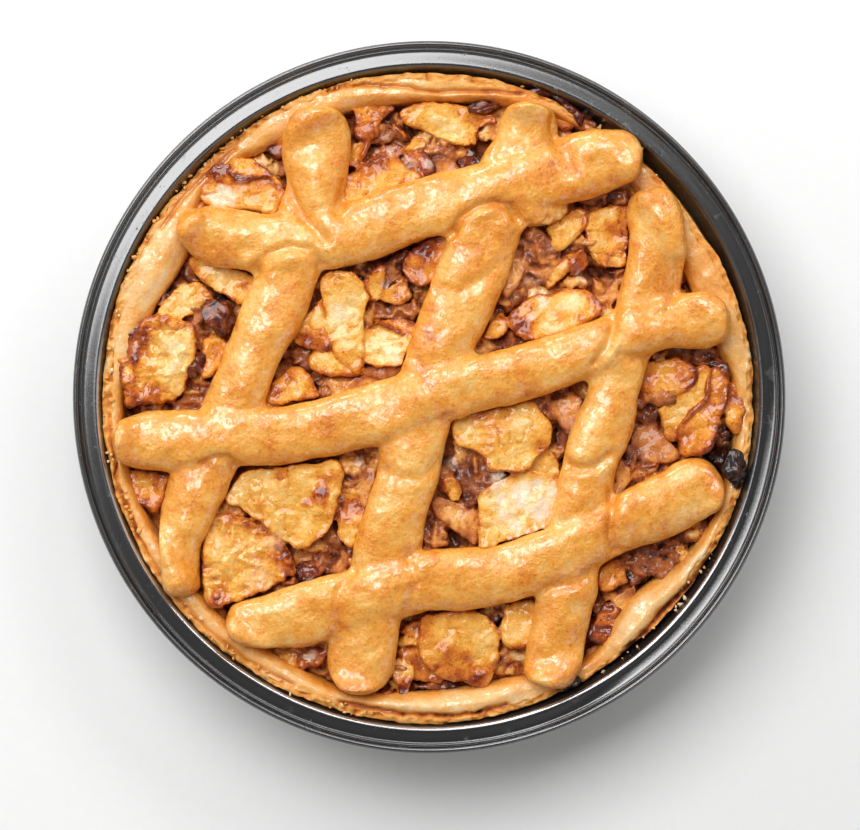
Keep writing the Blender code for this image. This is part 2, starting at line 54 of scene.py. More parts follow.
# (radius, height) from the middle of the inside, over the brim, to the middle of the underside.
TIN_PROFILE = [
    (0, 0.9), (40, 0.9), (80, 0.9), (96.5, 0.9), (99.2, 1.3), (100.8, 2.6), (101.6, 4.2), (104, 14),
    (107, 24), (109.7, 33), (110.6, 36.6), (111.0, 38.2), (111.25, 38.95), (111.55, 39.5),
    (111.9, 39.83), (112.3, 39.97), (112.7, 39.95), (113.2, 39.85), (113.8, 39.71),
    (114.5, 39.54), (115.2, 39.39), (115.8, 39.28), (116.4, 39.2), (116.7, 39.3),
    (116.9, 39.7), (117.1, 39.95), (117.35, 39.9), (117.55, 39.5), (117.7, 39.25),
    (117.85, 39.5), (118.05, 40.1), (118.4, 40.6), (118.9, 40.85), (119.35, 40.7),
    (119.75, 40.3), (119.95, 39.8), (119.95, 39.3), (119.7, 38.9), (119.2, 38.6), (118.5, 38.55),
    (117.9, 38.8), (117.1, 39.0), (116, 38.2), (114, 38.6), (112.9, 38.9), (112.3, 38.3),
    (111.7, 36), (108.6, 25), (105.4, 14), (102.4, 4), (101.6, 2), (100.2, 0.8), (98, 0.2),
    (95, 0), (80, 0), (40, 0), (0, 0),
]


def linear(red, green, blue):
    """A colour given as screen values, as the shader needs it."""
    return tuple((channel / 255) ** 2.2 for channel in (red, green, blue))


def new_piece(name, places, faces):
    """An object in metres from places in millimetres."""
    mesh = bpy.data.meshes.new(name)
    mesh.from_pydata((np.asarray(places) * 0.001).tolist(), [], faces)
    made = bpy.data.objects.new(name, mesh)
    bpy.context.scene.collection.objects.link(made)
    return made


def work_on(piece):
    """Leaves this piece alone selected and active."""
    bpy.ops.object.select_all(action="DESELECT")
    piece.select_set(True)
    bpy.context.view_layer.objects.active = piece


def outward(piece, merge=0.005):
    """Merges doubles and turns every face outwards."""
    work_on(piece)
    bpy.ops.object.mode_set(mode="EDIT")
    bpy.ops.mesh.select_all(action="SELECT")
    bpy.ops.mesh.remove_doubles(threshold=merge * 0.001)
    bpy.ops.mesh.normals_make_consistent(inside=False)
    bpy.ops.object.mode_set(mode="OBJECT")
    bpy.ops.object.shade_smooth()


def points_of(piece, normals=False):
    """The piece's points in millimetres, or its normals, as rows of three."""
    values = np.zeros(len(piece.data.vertices) * 3)
    if normals:
        piece.data.vertex_normals.foreach_get("vector", values)
        return values.reshape(-1, 3)
    piece.data.vertices.foreach_get("co", values)
    return values.reshape(-1, 3) * 1000


def move_points(piece, places):
    """Puts the piece's points at places in millimetres."""
    piece.data.vertices.foreach_set("co", (places * 0.001).ravel())
    piece.data.update()


def soft_step(values, low, high):
    """0 below low and 1 above high, with a soft step between."""
    share = np.clip((values - low) / (high - low), 0, 1)
    return share * share * (3 - 2 * share)


def finished(piece, finish, slot, *nodes):
    """Gives the piece its finish and hangs it under the model's root; the slot is not used."""
    piece.data.materials.clear()
    piece.data.materials.append(finish.material)
    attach(piece, "root")
    if nodes:
        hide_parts(*nodes)


class Value:
    """A number that changes over a surface: sums on it add the Math nodes."""

    def __init__(self, finish, socket):
        self.finish = finish
        self.socket = socket

    def maths(self, operation, *values, clamp=False):
        """Adds a Math node on the values."""
        settings = {"operation": operation, "use_clamp": clamp}
        node = self.finish.node("ShaderNodeMath", settings, dict(enumerate(values)))
        return Value(self.finish, node.outputs[0])

    def __add__(self, other):
        return self.maths("ADD", self, other)

    def __sub__(self, other):
        return self.maths("SUBTRACT", self, other)

    def __rsub__(self, other):
        return self.maths("SUBTRACT", other, self)

    def __mul__(self, other):
        return self.maths("MULTIPLY", self, other)

    def __pow__(self, other):
        return self.maths("POWER", self, other)

    __radd__ = __add__
    __rmul__ = __mul__

    def held(self):
        """Kept between 0 and 1."""
        return self.maths("ADD", self, 0, clamp=True)


class Finish:
    """The look of one surface."""

    def __init__(self, name, **fixed):
        self.material = bpy.data.materials.new(name)
        self.material.use_nodes = True
        self.tree = self.material.node_tree
        self.shader = self.tree.nodes["Principled BSDF"]
        for socket, value in fixed.items():
            self.shader.inputs[socket.replace("_", " ")].default_value = value
        self.coordinates = self.node("ShaderNodeTexCoord").outputs["Object"]

    def node(self, kind, settings=None, sockets=None):
        """Adds a node with its settings, and then the values or links of its sockets."""
        made = self.tree.nodes.new(kind)
        for name, value in (settings or {}).items():
            if name != "stops":
                setattr(made, name, value)
                continue
            elements = made.color_ramp.elements
            while len(elements) > 1:
                elements.remove(elements[-1])
            elements[0].position = value[0][0]
            elements[0].color = (*value[0][1], 1)
            for position, colour in value[1:]:
                elements.new(position).color = (*colour, 1)
        for name, value in (sockets or {}).items():
            self.set(made.inputs[name], value)
        return made

    def set(self, socket, value):
        """Links what changes over the surface to a socket, and sets what doesn't."""
        if isinstance(value, Value):
            value = value.socket
        if isinstance(value, bpy.types.NodeSocket):
            self.tree.links.new(value, socket)
        else:
            socket.default_value = value

    def noise(self, size, detail=2, roughness=0.5, places=None, kind="FBM", twist=0):
        """Unevenness about 0.5, size millimetres across."""
        sockets = {
            "Vector": places or self.coordinates,
            "Scale": 1000 / size,
            "Detail": detail,
            "Roughness": roughness,
            "Distortion": twist,
        }
        node = self.node("ShaderNodeTexNoise", {"noise_type": kind}, sockets)
        return Value(self, node.outputs[0])

    def stored(self, name):
        """A number kept at each point of the piece."""
        node = self.node("ShaderNodeAttribute", {"attribute_name": name})
        return Value(self, node.outputs["Fac"])

    def between(self, value, low, high):
        """0 below low and 1 above high, with a soft step between."""
        settings = {"interpolation_type": "SMOOTHSTEP"}
        node = self.node("ShaderNodeMapRange", settings, {0: value, 1: low, 2: high, 3: 0, 4: 1})
        return Value(self, node.outputs[0])

    def ramp(self, value, stops):
        """The colour at a value, of stops of (value, colour)."""
        settings = {"stops": stops}
        return self.node("ShaderNodeValToRGB", settings, {0: value}).outputs[0]

    def mix(self, share, first, second, blend="MIX"):
        """The first colour with a share of the second."""
        settings = {"data_type": "RGBA", "blend_type": blend, "clamp_factor": True}
        return self.node("ShaderNodeMix", settings, {0: share, 6: first, 7: second}).outputs[2]

    def look(self, **surface):
        """Sets or links sockets of the shader, with _ for a space in their names."""
        for socket, value in surface.items():
            self.set(self.shader.inputs[socket.replace("_", " ")], value)

    def bump(self, *layers):
        """Fine relief: (height, depth in millimetres) each, laid over one another."""
        normal = None
        for height, depth in layers:
            sockets = {"Height": height, "Strength": 1.0, "Distance": depth * 0.001}
            if normal:
                sockets["Normal"] = normal
            normal = self.node("ShaderNodeBump", {}, sockets).outputs[0]
        self.look(Normal=normal)


tin = new_piece("baking_tin", [(radius, 0, height) for radius, height in TIN_PROFILE], [])
work_on(tin)
tin.data.edges.add(len(TIN_PROFILE) - 1)
for index, edge in enumerate(tin.data.edges):
    edge.vertices = (index, index + 1)
bpy.ops.object.mode_set(mode="EDIT")
bpy.ops.mesh.select_all(action="SELECT")
bpy.ops.mesh.spin(steps=TIN_SIDES, angle=math.tau, center=(0, 0, 0), axis=(0, 0, 1))
bpy.ops.object.mode_set(mode="OBJECT")
outward(tin)
tin_places = points_of(tin)
tin_turns = np.degrees(np.arctan2(tin_places[:, 1], tin_places[:, 0]))
reach = np.hypot(tin_places[:, 0], tin_places[:, 1])
bent = soft_step(tin_turns, *BEND_GROWS) * (1 - soft_step(tin_turns, *BEND_FADES))
outer_third = np.clip(reach - BEND_RADIUS, 0, BEND_WIDTH) * (tin_places[:, 2] > UNDER_BRIM)
tin_places[:, 2] += BEND_SLOPE * bent * outer_third
move_points(tin, tin_places)

COATING = (0.0125, 0.0125, 0.0135, 1)
DRAWN_COATING = (0.028, 0.028, 0.030, 1)
WORN_COATING = (0.045, 0.044, 0.045, 1)
BAKED_ON_SYRUP = (*linear(84, 58, 40), 1)
# The steel of the painted highlight on the crest of the mouth.
HIGHLIGHT_STEEL = (0.72, 0.72, 0.73, 1)

enamel = Finish("black_coating", IOR=2.2)
around_axis = enamel.node("ShaderNodeSeparateXYZ", {}, {0: enamel.coordinates})
across = Value(enamel, around_axis.outputs[0])
along = Value(enamel, around_axis.outputs[1])
upward = Value(enamel, around_axis.outputs[2])
radius = (across * across + along * along) ** 0.5
turn = across.maths("ARCTAN2", along, across)
rings = enamel.node("ShaderNodeCombineXYZ", {}, {0: radius, 1: turn * 0.004, 2: upward})
drawn = enamel.noise(0.35, 3, 0.6, rings.outputs[0])
grain = enamel.noise(0.9, 3, 0.6)
streaks = enamel.between(enamel.noise(2.2, 3, 0.6, rings.outputs[0]), 0.55, 0.75)
worn = enamel.between(enamel.noise(7, 4, 0.65), 0.6, 0.72)
on_brim = enamel.between(upward, 0.0383, 0.0388)
on_brim = on_brim * (1 - enamel.between(radius, 0.1175, 0.118))
residue = enamel.between(enamel.noise(3.5, 5, 0.7), 0.66, 0.74) * on_brim
coating = enamel.mix(streaks * 0.5, COATING, DRAWN_COATING)
coating = enamel.mix(worn * 0.45, coating, WORN_COATING)
coating = enamel.mix(residue * 0.55, coating, BAKED_ON_SYRUP)
# A bright bare-steel band on the crest of the mouth, from the left round to the front right, is a
# painted highlight where the lamps catch that edge.
mouth = enamel.between(radius, 0.1112, 0.1115) * (1 - enamel.between(radius, 0.1119, 0.1122))
front_left = enamel.between(along * -1 - across * 0.25, 0.0, 0.03)
highlight_band = mouth * front_left * enamel.between(upward, 0.0385, 0.0392)
coating = enamel.mix(highlight_band, coating, HIGHLIGHT_STEEL)
enamel.look(
    Base_Color=coating,
    Metallic=highlight_band,
    Roughness=(0.20 + drawn * 0.10 + worn * 0.14 + residue * 0.3).held(),
)
enamel.bump((drawn, 0.012), (grain, 0.02), (residue, 0.08))
finished(tin, enamel, "tin", "tin")


# ------------------------------------------------------------------ the pastry case
# Sweet shortcrust pressed into the tin by hand. Its rim is thick and uneven, smooth where it was
# rolled over and sandy and cracked at its outer edge, where it was trimmed along the tin.

TIN_SHEET = 0.9
CASE_GAP = 0.4  # kept between pieces that touch
CASE_FLOOR = 6
CASE_WELL_RADIUS = 93
TIN_FLOOR_RADIUS = 100.5
TIN_MOUTH_RADIUS = 111.6
TIN_HEIGHT = 40
FILLING_EDGE = 30
FILLING_MIDDLE = 35
FILLING_DOME_RADIUS = 0.93 * TIN_MOUTH_RADIUS  # where it is down to its edge's height
# The rim at even steps round the pie, from +X towards +Y: its radii, the height of its crest,
# the width of the sandy edge, and how far it is baked, from 0 for pale to 2 for burnt.
RIM_OUTER = [110.2, 109.4, 107.8, 107.5, 107.8, 109.4, 109.6, 110.0, 110.2, 110.2, 110.6, 110.7,
             110.8, 110.8, 110.8, 110.8, 110.8, 110.8, 110.4, 109.8, 109.0, 108.6, 109.0, 110.0]
RIM_INNER = [103.0, 97.0, 96.0, 98.0, 103.5, 102.0, 99.5, 100.5, 99.5, 103.5, 95.0, 98.5,
             103.0, 104.5, 102.3, 102.0, 101.5, 102.5, 99.5, 98.8, 103.0, 96.4, 102.6, 104.0]
RIM_CREST = [36.0, 37.5, 38.0, 37.5, 35.0, 38.0, 38.5, 38.0, 37.0, 35.5, 38.5, 38.8,
             38.2, 38.4, 38.4, 38.4, 38.5, 38.5, 38.5, 38.4, 36.5, 38.2, 37.8, 36.8]
SANDY_WIDTH = [2.2, 2.5, 2.5, 1.5, 1.2, 2.0, 2.2, 2.2, 1.8, 1.4, 2.4, 3.0,
               3.4, 2.8, 2.2, 2.0, 2.2, 3.0, 3.2, 2.6, 1.5, 2.4, 2.6, 2.4]
RIM_BAKE = [0.46, 0.50, 0.56, 0.62, 0.80, 0.60, 0.46, 0.46, 0.55, 0.70, 0.50, 0.46,
            0.44, 0.50, 0.50, 0.48, 0.46, 0.46, 0.42, 0.42, 0.60, 0.50, 0.50, 0.46]
# Creases and ridges of the rim: (height, width, change of bake, line). The darker bake along the
# creases is painted shade.
RIM_STROKES = [
    (-1.2, 0.8, 0.55, [(-34, 104.2), (-20, 105.2), (-12, 105.2), (-5, 103.8), (3, 103.2),
                       (12, 103.4), (22, 103.2), (31, 102.6)]),
    (0.5, 1.6, 0.22, [(-30, 101.5), (-15, 101.8), (-2, 100.9), (12, 101.2), (26, 100.9)]),
    (-1.4, 0.9, 0.75, [(-30, -103), (-18, -105.5), (-8, -107), (3, -107.5), (14, -106.8),
                       (26, -103.8)]),
    (0.9, 2.4, -0.12, [(-24, -101), (-10, -104), (4, -104.4), (16, -103), (27, -99.5)]),
    (-2.0, 1.0, 0.85, [(66, -87), (73, -79), (78, -72.5), (85, -66), (90, -61), (95, -54)]),
    (0.9, 1.8, -0.10, [(64, -84), (70.5, -77), (75.5, -70.5), (82, -64.5), (87.5, -59),
                       (92.5, -52)]),
    (-0.9, 0.9, 0.5, [(-66, 84), (-75, 76), (-84, 67), (-90, 57)]),
    (-1.0, 0.8, 0.55, [(-108, 20), (-106, 35), (-100.5, 49), (-92, 61)]),
    (-0.8, 0.8, 0.45, [(-108, -6), (-106, -26), (-99, -46), (-90, -60)]),
    (-0.7, 0.8, 0.4, [(-86, -66), (-74, -79), (-60, -90), (-46, -97)]),
]


def spline(before, start, end, after, share):
    """Catmull-Rom between start and end."""
    return start + share * 0.5 * (
        (end - before)
        + share * (2 * before - 5 * start + 4 * end - after)
        + share * share * (3 * (start - end) + after - before)
    )


def around(values, angles):
    """The value at each angle, of values at even steps round the pie."""
    values = np.array(values)
    place = angles / math.tau % 1 * len(values)
    first = np.floor(place).astype(int)
    steps = [values[(first + step) % len(values)] for step in (-1, 0, 1, 2)]
    return spline(*steps, place - first)


LUMP_CELLS = 24  # after so many lumps the unevenness repeats


def lumps(places, size, seed):
    """Smooth unevenness from -1 to 1 at each place, in lumps about size millimetres across."""
    table = np.random.default_rng(seed).uniform(-1, 1, (LUMP_CELLS,) * 3)
    grid = np.asarray(places, float) / size
    low = np.floor(grid).astype(int)
    share = grid - low
    share = share * share * (3 - 2 * share)
    total = np.zeros(len(grid))
    for corner in np.ndindex(2, 2, 2):
        weight = np.prod(np.where(corner, share, 1 - share), axis=1)
        cell = (low + corner) % LUMP_CELLS
        total += weight * table[cell[:, 0], cell[:, 1], cell[:, 2]]
    return total


def to_line(places, line):
    """The distance in plan from each place to a line of points."""
    nearest = np.full(len(places), 1e9)
    for start, end in zip(line, line[1:]):
        start = np.array(start, float)
        side = np.array(end, float) - start
        share = np.clip((places[:, :2] - start) @ side / (side @ side), 0, 1)
        gap = places[:, :2] - start - share[:, None] * side
        nearest = np.minimum(nearest, np.hypot(gap[:, 0], gap[:, 1]))
    return nearest


def strokes_at(places, strokes):
    """How much creases and ridges lift each place, and how much they darken or lighten it, which
    along creases is painted shade.
    """
    lift = np.zeros(len(places))
    bake = np.zeros(len(places))
    for height, width, change, line in strokes:
        weight = np.exp(-((to_line(places, line) / width) ** 2))
        lift += height * weight
        bake += change * weight
    return lift, bake


def tin_wall(height):
    """The tin's inner radius at a height."""
    return TIN_FLOOR_RADIUS + (TIN_MOUTH_RADIUS - TIN_FLOOR_RADIUS) * height / TIN_HEIGHT


def case_inside(angles, height):
    """The case's inner radius, from a round well at its floor to the uneven rim."""
    low = TIN_SHEET + CASE_FLOOR
    share = min(1, max(0, (height - low) / (FILLING_EDGE - low)))
    return CASE_WELL_RADIUS + (around(RIM_INNER, angles) - CASE_WELL_RADIUS) * share


def filling_height(x, y):
    """The top of the filling, without its lumps."""
    share = np.hypot(x, y) / FILLING_DOME_RADIUS
    return FILLING_MIDDLE - (FILLING_MIDDLE - FILLING_EDGE) * np.minimum(1, share * share)


def store(piece, **numbers):
    """Keeps a number at each point of the piece, for its finish."""
    for name, values in numbers.items():
        kept = piece.data.attributes.new(name, "FLOAT", "POINT")
        kept.data.foreach_set("value", np.asarray(values, np.float32))


def ring_faces(levels, sides):
    """Quads between rings of points, ring after ring, each closed round the axis."""
    ring = np.arange(sides)
    after = (ring + 1) % sides
    quads = [
        np.column_stack([
            level * sides + ring, level * sides + after,
            (level + 1) * sides + after, (level + 1) * sides + ring,
        ])
        for level in range(levels - 1)
    ]
    return np.vstack(quads).tolist()


CASE_SIDES = 840
RIM_LEVELS = 40
CASE_CORNER = 3  # between the floor and the wall
angles = np.linspace(0, math.tau, CASE_SIDES, endpoint=False)
crest = around(RIM_CREST, angles)
rim_outer = np.minimum(around(RIM_OUTER, angles), tin_wall(crest - 1) - CASE_GAP)
rim_inner = around(RIM_INNER, angles)
case_low = TIN_SHEET + CASE_GAP
case_floor = case_low + CASE_FLOOR
full = np.ones(CASE_SIDES)
# Rings of (radii, heights, how free they are to be uneven), over the inside to the underside.
levels = [(full * radius, full * case_floor, 0) for radius in (0, 60, CASE_WELL_RADIUS - CASE_CORNER)]
levels += [
    (case_inside(angles, height), full * height, 0) for height in (case_floor + CASE_CORNER, 18, 24)
]
levels += [(rim_inner, full * 28, 0.3), (rim_inner + 0.1, crest * 0.5 + 14, 0.6)]
for share in np.linspace(0, 1, RIM_LEVELS):
    side = np.where(share < 0.5, 3.4 * abs(1 - 2 * share) ** 2.4, 0.7 * abs(2 * share - 1) ** 4)
    levels.append((rim_inner + (rim_outer - rim_inner) * (0.03 + 0.97 * share), crest - side, 1))
levels += [(rim_outer + 0.1, crest - 3.4, 0.7), (rim_outer, crest - 5, 0.4)]
levels += [
    (tin_wall(height) - CASE_GAP * full, full * height, 0) for height in (30, 20, case_low + 4)
]
levels += [(full * radius, full * case_low, 0) for radius in (TIN_FLOOR_RADIUS - 4, 60, 0)]
radii = np.concatenate([level[0] for level in levels])
turns = np.tile(angles, len(levels))
free = np.repeat([level[2] for level in levels], CASE_SIDES)
heights = np.concatenate([level[1] for level in levels])
places = np.column_stack([radii * np.cos(turns), radii * np.sin(turns), heights])
sandy_width = around(SANDY_WIDTH, turns) + 0.9 * lumps(places, 4, 11) + 0.5 * lumps(places, 1.6, 12)
from_outside = np.tile(rim_outer, len(levels)) - radii
sandy = soft_step(sandy_width - from_outside, -0.5, 0.5) * free
lift, crease_shade_and_bake = strokes_at(places, RIM_STROKES)
wavy = 0.7 * lumps(places, 11, 13) + 0.35 * lumps(places, 4.5, 14)
crumbly = 0.9 * lumps(places, 2.4, 15) + 0.9 * lumps(places, 1.1, 16)
cracks = np.exp(-(lumps(places * (1, 1, 0.2), 3.0, 20) / 0.07) ** 2) * sandy
cracks = cracks * soft_step(lumps(places, 7, 23), -0.1, 0.4)
places[:, 2] += (
    free * (wavy + lift) + sandy * (0.9 * crumbly - 0.2) - 1.0 * cracks
    + free * 0.12 * lumps(places, 1.4, 17)
)
shift = free * (0.5 * lumps(places, 7, 18) + 0.3 * lumps(places, 2.5, 19)) - sandy * 0.2
radii = np.minimum(radii + shift, tin_wall(places[:, 2]) - 0.3)
places[:, 0] = radii * np.cos(turns)
places[:, 1] = radii * np.sin(turns)
case = new_piece("pastry_crust", places, ring_faces(len(levels), CASE_SIDES))
inner_face_shade = free * soft_step(np.tile(rim_inner, len(levels)) + 1.6 - radii, -1.2, 1.2)
# The bake is painted darker on the rim's inner face, in the cracks, along the creases and where the
# sandy edge's grains lie low: painted shade.
bake = (
    around(RIM_BAKE, turns) + 0.16 * lumps(places, 9, 21) + 0.14 * lumps(places, 3.2, 22)
    + crease_shade_and_bake + sandy * (0.16 - 0.20 * crumbly) + 0.28 * inner_face_shade + 0.45 * cracks
)
store(case, bake=bake, sandy=sandy)
outward(case)
# Crumbs have fallen along its outer edge and into the gap at the front right: the angles in
# degrees between which they lie, how many, how far from the axis and how far under the crest.
CRUMBS = [
    (100, 160, 60, 108.4, 110.6, 0.4), (160, 260, 60, 107, 110.4, 0.1),
    (-60, -50, 5, 109, 110.4, 2.6), (-41, -38, 6, 108.8, 110.2, 2.2), (-33, -28, 4, 109, 110.4, 2.4),
    (-62, -22, 9, 106.5, 109, 0.4), (40, 75, 14, 106, 110, 1.4), (48.5, 49.5, 2, 109.6, 110.6, -1.6),
]
crumb_chance = np.random.default_rng(19)
bpy.ops.object.select_all(action="DESELECT")
bpy.ops.mesh.primitive_ico_sphere_add(subdivisions=2, radius=0.0005)
one_crumb = bpy.context.object
ball = points_of(one_crumb)
ball_faces = np.array([face.vertices[:] for face in one_crumb.data.polygons])
bpy.data.objects.remove(one_crumb)
crumb_places = []
crumb_faces = []
for first, last, count, near, far, under in CRUMBS:
    for _ in range(count):
        turned = math.radians(crumb_chance.uniform(first, last))
        reach = crumb_chance.uniform(near, far)
        size = crumb_chance.uniform(0.5, 1.5, 3) * crumb_chance.uniform(0.4, 1.4) ** 1.5
        crumb = ball * size * (1 + 0.5 * lumps(ball + len(crumb_places) * 3, 0.4, 24))[:, None]
        top = around(RIM_CREST, np.array([turned]))[0] - under
        crumb_faces += (ball_faces + len(crumb_places) * len(ball)).tolist()
        crumb_places.append(crumb + (reach * math.cos(turned), reach * math.sin(turned), top))
crumbs = new_piece("crumbs", np.vstack(crumb_places), crumb_faces)
outward(crumbs, merge=0.0005)
crumb_bake = 0.45 + 0.5 * lumps(points_of(crumbs), 5, 25)
store(crumbs, bake=crumb_bake, sandy=np.ones(len(crumb_bake)))
work_on(case)
crumbs.select_set(True)
bpy.ops.object.join()


# From pale to burnt dough.
DOUGH_SHADES = [
    (0.00, (255, 224, 180)), (0.125, (254, 202, 134)), (0.25, (251, 178, 88)),
    (0.375, (240, 152, 58)), (0.5, (212, 120, 42)), (0.625, (168, 84, 30)),
    (0.75, (114, 52, 22)), (1.0, (42, 19, 12)),
]
DOUGH_LIGHT = 0.86  # the share of the shades' light that is kept


def dimmed(shades, light):
    """Stops of a ramp from (place, colour), with a share of the colours' light."""
    return [
        (place, tuple(light * channel for channel in linear(*shade))) for place, shade in shades
    ]


pastry = Finish("shortcrust", IOR=1.55, Coat_IOR=1.9, Coat_Roughness=0.14)
patches = pastry.noise(6, 3, 0.55)
specks = pastry.noise(1.1, 4, 0.65)
sand = pastry.noise(0.45, 2, 0.6)
toasted = pastry.between(pastry.noise(2.6, 4, 0.6), 0.62, 0.76)
rough = pastry.stored("sandy")
buttery = pastry.between(pastry.noise(5, 3, 0.6), 0.40, 0.58)
glints = pastry.between(pastry.noise(1.5, 3, 0.62), 0.46, 0.54)
# The stored bake holds the painted shade of the rim as well as its browning.
baked = (
    pastry.stored("bake") - 0.06 + (patches - 0.5) * 0.5 + (specks - 0.5) * 0.45
    + (sand - 0.5) * (0.15 + rough * 0.5) + toasted * 0.3
)
pastry.look(
    Base_Color=pastry.ramp(baked * 0.5, dimmed(DOUGH_SHADES, DOUGH_LIGHT)),
    Roughness=(0.36 + rough * 0.35 + (patches - 0.5) * 0.3).held(),
    Coat_Weight=(buttery * (0.1 + glints * 0.9) * (1 - rough)).held(),
)
wrinkles = pastry.noise(3.4, 2, 0.5, kind="RIDGED_MULTIFRACTAL", twist=0.6)
pastry.bump((patches, 0.5), (wrinkles, 0.05), (specks, 0.25), (sand, 0.14))
finished(case, pastry, "pastry", "pastry_case")


# ------------------------------------------------------------------ the apple filling
# Apple cut by hand into wedges and dice and baked in a thick brown cinnamon sauce. Its body is
# one solid out to the case. On it lies the sauce with its stewed pulp, baked to one mass, and
# the firmer pieces of apple stand out of that.

BODY_TOP = 26  # where the pulp and the pieces are cut off
BODY_LAP = 1.5  # how far the body reaches up into them
BODY_GAP = 0.6
BODY_SIDES = 120
filling_low = case_floor + CASE_GAP


def stacked(levels, sides):
    """Points of rings that lie over one another: (radii, heights) each."""
    turned = np.linspace(0, math.tau, sides, endpoint=False)
    return np.vstack([
        np.column_stack([
            radii * np.cos(turned), radii * np.sin(turned), np.broadcast_to(heights, sides)
        ])
        for radii, heights in levels
    ])


body_turns = np.linspace(0, math.tau, BODY_SIDES, endpoint=False)
body_wall = case_inside(body_turns, BODY_TOP)
body_levels = [
    (body_wall * 0, BODY_TOP + BODY_LAP), (body_wall - BODY_LAP, BODY_TOP + BODY_LAP),
    (body_wall - BODY_GAP, BODY_TOP - 1),
]
body_levels += [
    (case_inside(body_turns, height) - BODY_GAP, height) for height in (18.0, filling_low + 3.3)
]
body_levels += [(body_wall * 0 + CASE_WELL_RADIUS - 3.8, filling_low), (body_wall * 0, filling_low)]
body = new_piece(
    "apple_body", stacked(body_levels, BODY_SIDES), ring_faces(len(body_levels), BODY_SIDES),
)
outward(body)
everywhere = np.ones(len(body.data.vertices))
store(body, tone=1.2 * everywhere, wet=0.8 * everywhere, milk=0 * everywhere)

